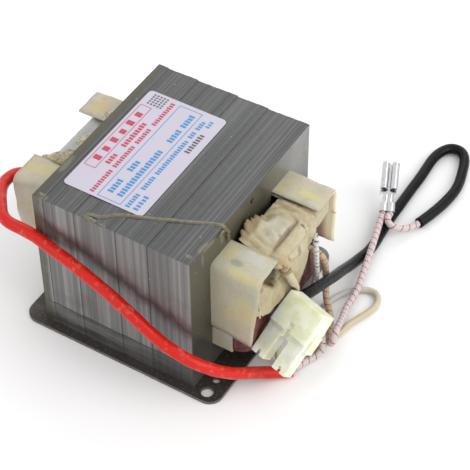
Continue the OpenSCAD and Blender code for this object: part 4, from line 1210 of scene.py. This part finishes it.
class TRANSFORMER_OT_label(Step, bpy.types.Operator):
    """Print plain boxes and bars on the label"""

    bl_idname = "transformer.label"
    bl_label = "Label"

    def build(self, leads, coils, colours):
        dress("label", label_finish(colours))
        inks = [
            print_finish("red print", (0.42, 0.012, 0.045)), print_finish("blue print", (0.012, 0.20, 0.46)),
            print_finish("black print", (0.05, 0.05, 0.055)),
        ]
        points, faces, inked = [], [], []
        for ink, a0, a1, b0, b1 in self.bars():
            box = [(LABEL_CORNER[0] + a, LABEL_CORNER[1] + b, z) for z in PRINT_LEVELS
                   for a, b in ((a0, b0), (a1, b0), (a1, b1), (a0, b1))]
            join(points, faces, box, BOX_FACES)
            inked += [ink] * len(BOX_FACES)
        piece = make_piece("label_print", points, faces, inks, smooth=False)
        piece.data.polygons.foreach_set("material_index", inked)

    def bars(self):
        """Ink and sides of each printed bar."""
        w = FRAME_LINE
        for ink, a0, a1, b0, b1, *stretches in LABEL_PRINT:
            if not stretches:
                yield from ((ink, a0, a0 + w, b0, b1), (ink, a1 - w, a1, b0, b1))
                yield from ((ink, a0 + w, a1 - w, b0, b0 + w), (ink, a0 + w, a1 - w, b1 - w, b1))
            width, gap = b0, b1
            for place, end in stretches:
                k = 0
                while place + width <= end + 0.01:
                    trim = (a1 - a0) * (0.0, 0.12, 0.04, 0.18)[k % 4]
                    yield ink, a0 + trim, a1, place, place + width
                    place += width + gap
                    k += 1
        for m in range(5):
            for n in range(5):
                yield 2, 3.0 + m * 1.5, 3.9 + m * 1.5, 54.9 + n * 1.4, 55.75 + n * 1.4


# centres and radii of the drips and crumbs of varnish
CRUMBS = (
    ((-9.5, -44.2, 73.4), (3.4, 1.2, 0.5)), ((-4, -44.4, 73.3), (2.2, 0.9, 0.5)),
    ((36.2, -18.0, 65.2), (0.7, 1.2, 2.4)), ((36.2, -22.5, 71.2), (0.6, 2.6, 1.0)),
    ((-33, -42.8, 73.6), (1.8, 0.9, 0.3)),
)
# upper and lower edges of the ragged flakes beside the far yoke and on the far coil end
FLAKES = (
    (((-36.2, -10.5, 71.4), (-36.2, -6, 71.8), (-36.2, 0.5, 71.0)),
     ((-40.0, -10.5, 68.8), (-42.8, -7.6, 68.4), (-40.8, 0.4, 68.4))),
    (((-36.2, -1.0, 70.6), (-36.2, 3.0, 70.8), (-36.2, 7.5, 70.6)),
     ((-38.6, 0.2, 68.0), (-39.6, 3.4, 68.0), (-39.4, 7.4, 68.2))),
    (((-36.2, 6.5, 71.2), (-36.2, 11, 71.6), (-36.2, 16, 71.2), (-36.2, 22.5, 70.2)),
     ((-40.0, 7.0, 68.6), (-42.2, 12, 68.6), (-41.6, 16, 68.2), (-38.2, 21.6, 68.0))),
    (((-36.2, -17.8, 73.1), (-36.4, -16.5, 73.3), (-36.2, -14.6, 73.0)),
     ((-37.4, -18.0, 70.6), (-38.0, -16.6, 70.2), (-37.4, -15.0, 70.4))),
    (((-54.0, -15.4, 61.0), (-48, -15.3, 61.2), (-42, -15.2, 61.6), (-37, -14.8, 63.0)),
     ((-54.4, -10.4, 59.7), (-50, -6.4, 59.5), (-43, -3.4, 59.5), (-37, -1.0, 59.8))),
    (((-37.0, 3.0, 61.5), (-37.2, 9.0, 61.2), (-37.0, 15.0, 61.6)),
     ((-41.5, 3.5, 59.5), (-44.0, 9.5, 59.4), (-41.0, 14.8, 59.5))),
)


class TRANSFORMER_OT_varnish(Step, bpy.types.Operator):
    """Lay the run of dried varnish, its drips and the crumbs along the edges"""

    bl_idname = "transformer.varnish"
    bl_label = "Dried varnish"

    def build(self, leads, coils, colours):
        dried = varnish_finish("dried varnish", (0.135, 0.122, 0.07), (0.085, 0.074, 0.042))
        path, length = follow(BEAD_ROUTE, 0.6)

        def uneven(run, angle, out, index):
            taper = smoothstep(0, 3, run) * (1 - 0.7 * smoothstep(length - 4, length, run))
            return (0.35 + 0.65 * taper) * (0.95 + 0.2 * ripple(run / 4.0, math.cos(angle) * 0.5, 2.0))

        points, faces, _ = tube(path, 1.0, 16, shape=uneven)
        for p in points:
            if p[0] < 35.9 and p[2] > CORE_TOP:
                p[2] = CORE_TOP + (p[2] - CORE_TOP) * 0.6
        make_piece("varnish_run", points, faces, dried, ["varnish_bead"])
        points, faces = [], []
        for k, (centre, radii) in enumerate(CRUMBS):
            join(points, faces, *self.lump(centre, radii, k * 2.7))
        make_piece("varnish_drips", points, faces, dried)
        points, faces = [], []
        for k, (rim, edge) in enumerate(FLAKES):
            join(points, faces, *self.flake(rim, edge, 31 + k * 1.9))
        amber = varnish_finish("amber varnish", (0.42, 0.32, 0.15), (0.17, 0.12, 0.05), glow=0.2)
        make_piece("varnish_scraps", points, faces, amber)

    def flake(self, rim, edge, seed):
        """One thin ragged flake between two edges."""
        grid = []
        for t in np.linspace(0, 1, 17):
            a, b = [between(line, t * (len(rim) - 1)) for line in (rim, edge)]
            ends = smoothstep(0, 0.14, t) * smoothstep(1, 0.86, t)
            reach = 0.75 + 0.5 * ripple(t * 5, seed, 1.0) + 0.35 * ripple(t * 17, seed, 4.0)
            line = [a + (b - a) * s * reach * (0.4 + 0.6 * ends) for s in np.linspace(0, 1, 7)]
            grid.append([
                here + 0.35 * np.array([turbulent(*(here * 0.35), 2), 0.0, turbulent(*(here * 0.3 + seed), 2)])
                for here in line
            ])
        return thick_sheet(grid, 0.35)

    def lump(self, centre, radii, seed):
        """One uneven rounded lump."""
        rings, sides = 8, 14
        points, faces = [], []
        for i in range(rings + 1):
            polar = math.pi * i / rings
            for turn in np.arange(sides) * math.tau / sides:
                d = Vector((math.sin(polar) * math.cos(turn), math.sin(polar) * math.sin(turn), math.cos(polar)))
                swell = 1.0 + 0.42 * noise.fractal(d * 1.7 + Vector((seed, seed * 0.6, 1.0)), 0.7, 2.0, 3)
                points.append([centre[c] + radii[c] * d[c] * swell for c in range(3)])
        for i in range(rings):
            a, b = i * sides, (i + 1) * sides
            for k in range(sides):
                other = (k + 1) % sides
                if i == 0:
                    faces.append((a, b + k, b + other))
                elif i == rings - 1:
                    faces.append((a + k, b, a + other))
                else:
                    faces.append((a + k, b + k, b + other, a + other))
        return points, faces


class TRANSFORMER_OT_fittings(Step, bpy.types.Operator):
    """Finish the push-on terminal, the connector and the tie of the lead"""

    bl_idname = "transformer.fittings"
    bl_label = "Terminal and connector"

    def build(self, leads, coils, colours):
        tin = tin_finish()
        dress("spade_terminal", tin, bevel=0.08)
        dress("connector_contacts", tin)
        dress("connector_housing", nylon_finish(colours), bevel=0.3)
        first, last = Vector((59.06, -13.76, 55.72)), Vector((59.12, -12.92, 54.04))
        axis = (last - first).normalized()
        out = (Vector((1, 0, 0)) - axis * axis.x).normalized()
        side = axis.cross(out)
        route = []
        for k in range(34):
            angle = k * math.tau / 11
            route.append(first + (last - first) * (k / 33) + 2.1 * (math.cos(angle) * out + math.sin(angle) * side))
        path, _ = follow([*route, (58.6, -15.2, 52.6), (57.6, -15.9, 50.8)], 0.5)
        points, faces, turns = tube(path, 0.32, 8)
        make_piece("tie_string", points, faces, string_finish(), ["lead_tie"], turns=turns)


class TRANSFORMER_OT_stage(Step, bpy.types.Operator):
    """Lay the pale floor and set the soft studio light"""

    bl_idname = "transformer.stage"
    bl_label = "Stage"

    def build(self, leads, coils, colours):
        scene = bpy.context.scene
        size = 4.0
        mesh = bpy.data.meshes.new("floor")
        mesh.from_pydata([(-size, -size, 0), (size, -size, 0), (size, size, 0), (-size, size, 0)], [], [(0, 1, 2, 3)])
        mesh.materials.append(floor_finish())
        floor = bpy.data.objects.new("floor", mesh)
        floor.location.z = -0.0002
        scene.collection.objects.link(floor)
        world = bpy.data.worlds.new("studio")
        world.use_nodes = True
        colour, strength = world.node_tree.nodes["Background"].inputs[:2]
        colour.default_value, strength.default_value = (1.0, 1.0, 1.0, 1.0), 0.93
        scene.world = world
        scene.view_settings.view_transform = "Standard"
        for name, place, width, power in (
            ("key", (1.25, 0.15, 1.05), 1.5, 15.0), ("fill", (-0.6, -1.0, 1.2), 1.0, 3.0),
            ("rim", (-0.3, 1.2, 1.1), 1.0, 4.0),
        ):
            data = bpy.data.lights.new(name, "AREA")
            data.size, data.energy = width, power
            lamp = bpy.data.objects.new(name, data)
            lamp.location = place
            lamp.rotation_euler = (Vector((0, 0, 0.03)) - Vector(place)).to_track_quat("-Z", "Y").to_euler()
            scene.collection.objects.link(lamp)


class TRANSFORMER_PT_panel(bpy.types.Panel):
    """Lists the pieces of the transformer and their settings"""

    bl_idname = "TRANSFORMER_PT_panel"
    bl_label = "High voltage transformer"
    bl_space_type = "VIEW_3D"
    bl_region_type = "UI"
    bl_category = "Transformer"

    def draw(self, context):
        for setting in SETTINGS:
            group, box = getattr(context.scene, setting), self.layout.box()
            for name in group.bl_rna.properties.keys():
                if name not in ("rna_type", "name"):
                    box.prop(group, name)
        for operator in OPERATORS:
            self.layout.operator(operator.bl_idname)


SETTINGS = {
    "transformer_leads": LeadSettings, "transformer_coils": CoilSettings, "transformer_finishes": FinishSettings,
}
OPERATORS = (
    TRANSFORMER_OT_camera,
    TRANSFORMER_OT_leads,
    TRANSFORMER_OT_core,
    TRANSFORMER_OT_windings,
    TRANSFORMER_OT_sheets,
    TRANSFORMER_OT_lead_cloth,
    TRANSFORMER_OT_label,
    TRANSFORMER_OT_varnish,
    TRANSFORMER_OT_fittings,
    TRANSFORMER_OT_stage,
)


def register():
    for kind in (*SETTINGS.values(), *OPERATORS, TRANSFORMER_PT_panel):
        bpy.utils.register_class(kind)
    for name, kind in SETTINGS.items():
        setattr(bpy.types.Scene, name, bpy.props.PointerProperty(type=kind))


def unregister():
    for name in SETTINGS:
        delattr(bpy.types.Scene, name)
    for kind in reversed((*SETTINGS.values(), *OPERATORS, TRANSFORMER_PT_panel)):
        bpy.utils.unregister_class(kind)


def main():
    register()
    for operator in OPERATORS:
        group, name = operator.bl_idname.split(".")
        getattr(getattr(bpy.ops, group), name)()


if __name__ == "__main__":
    main()
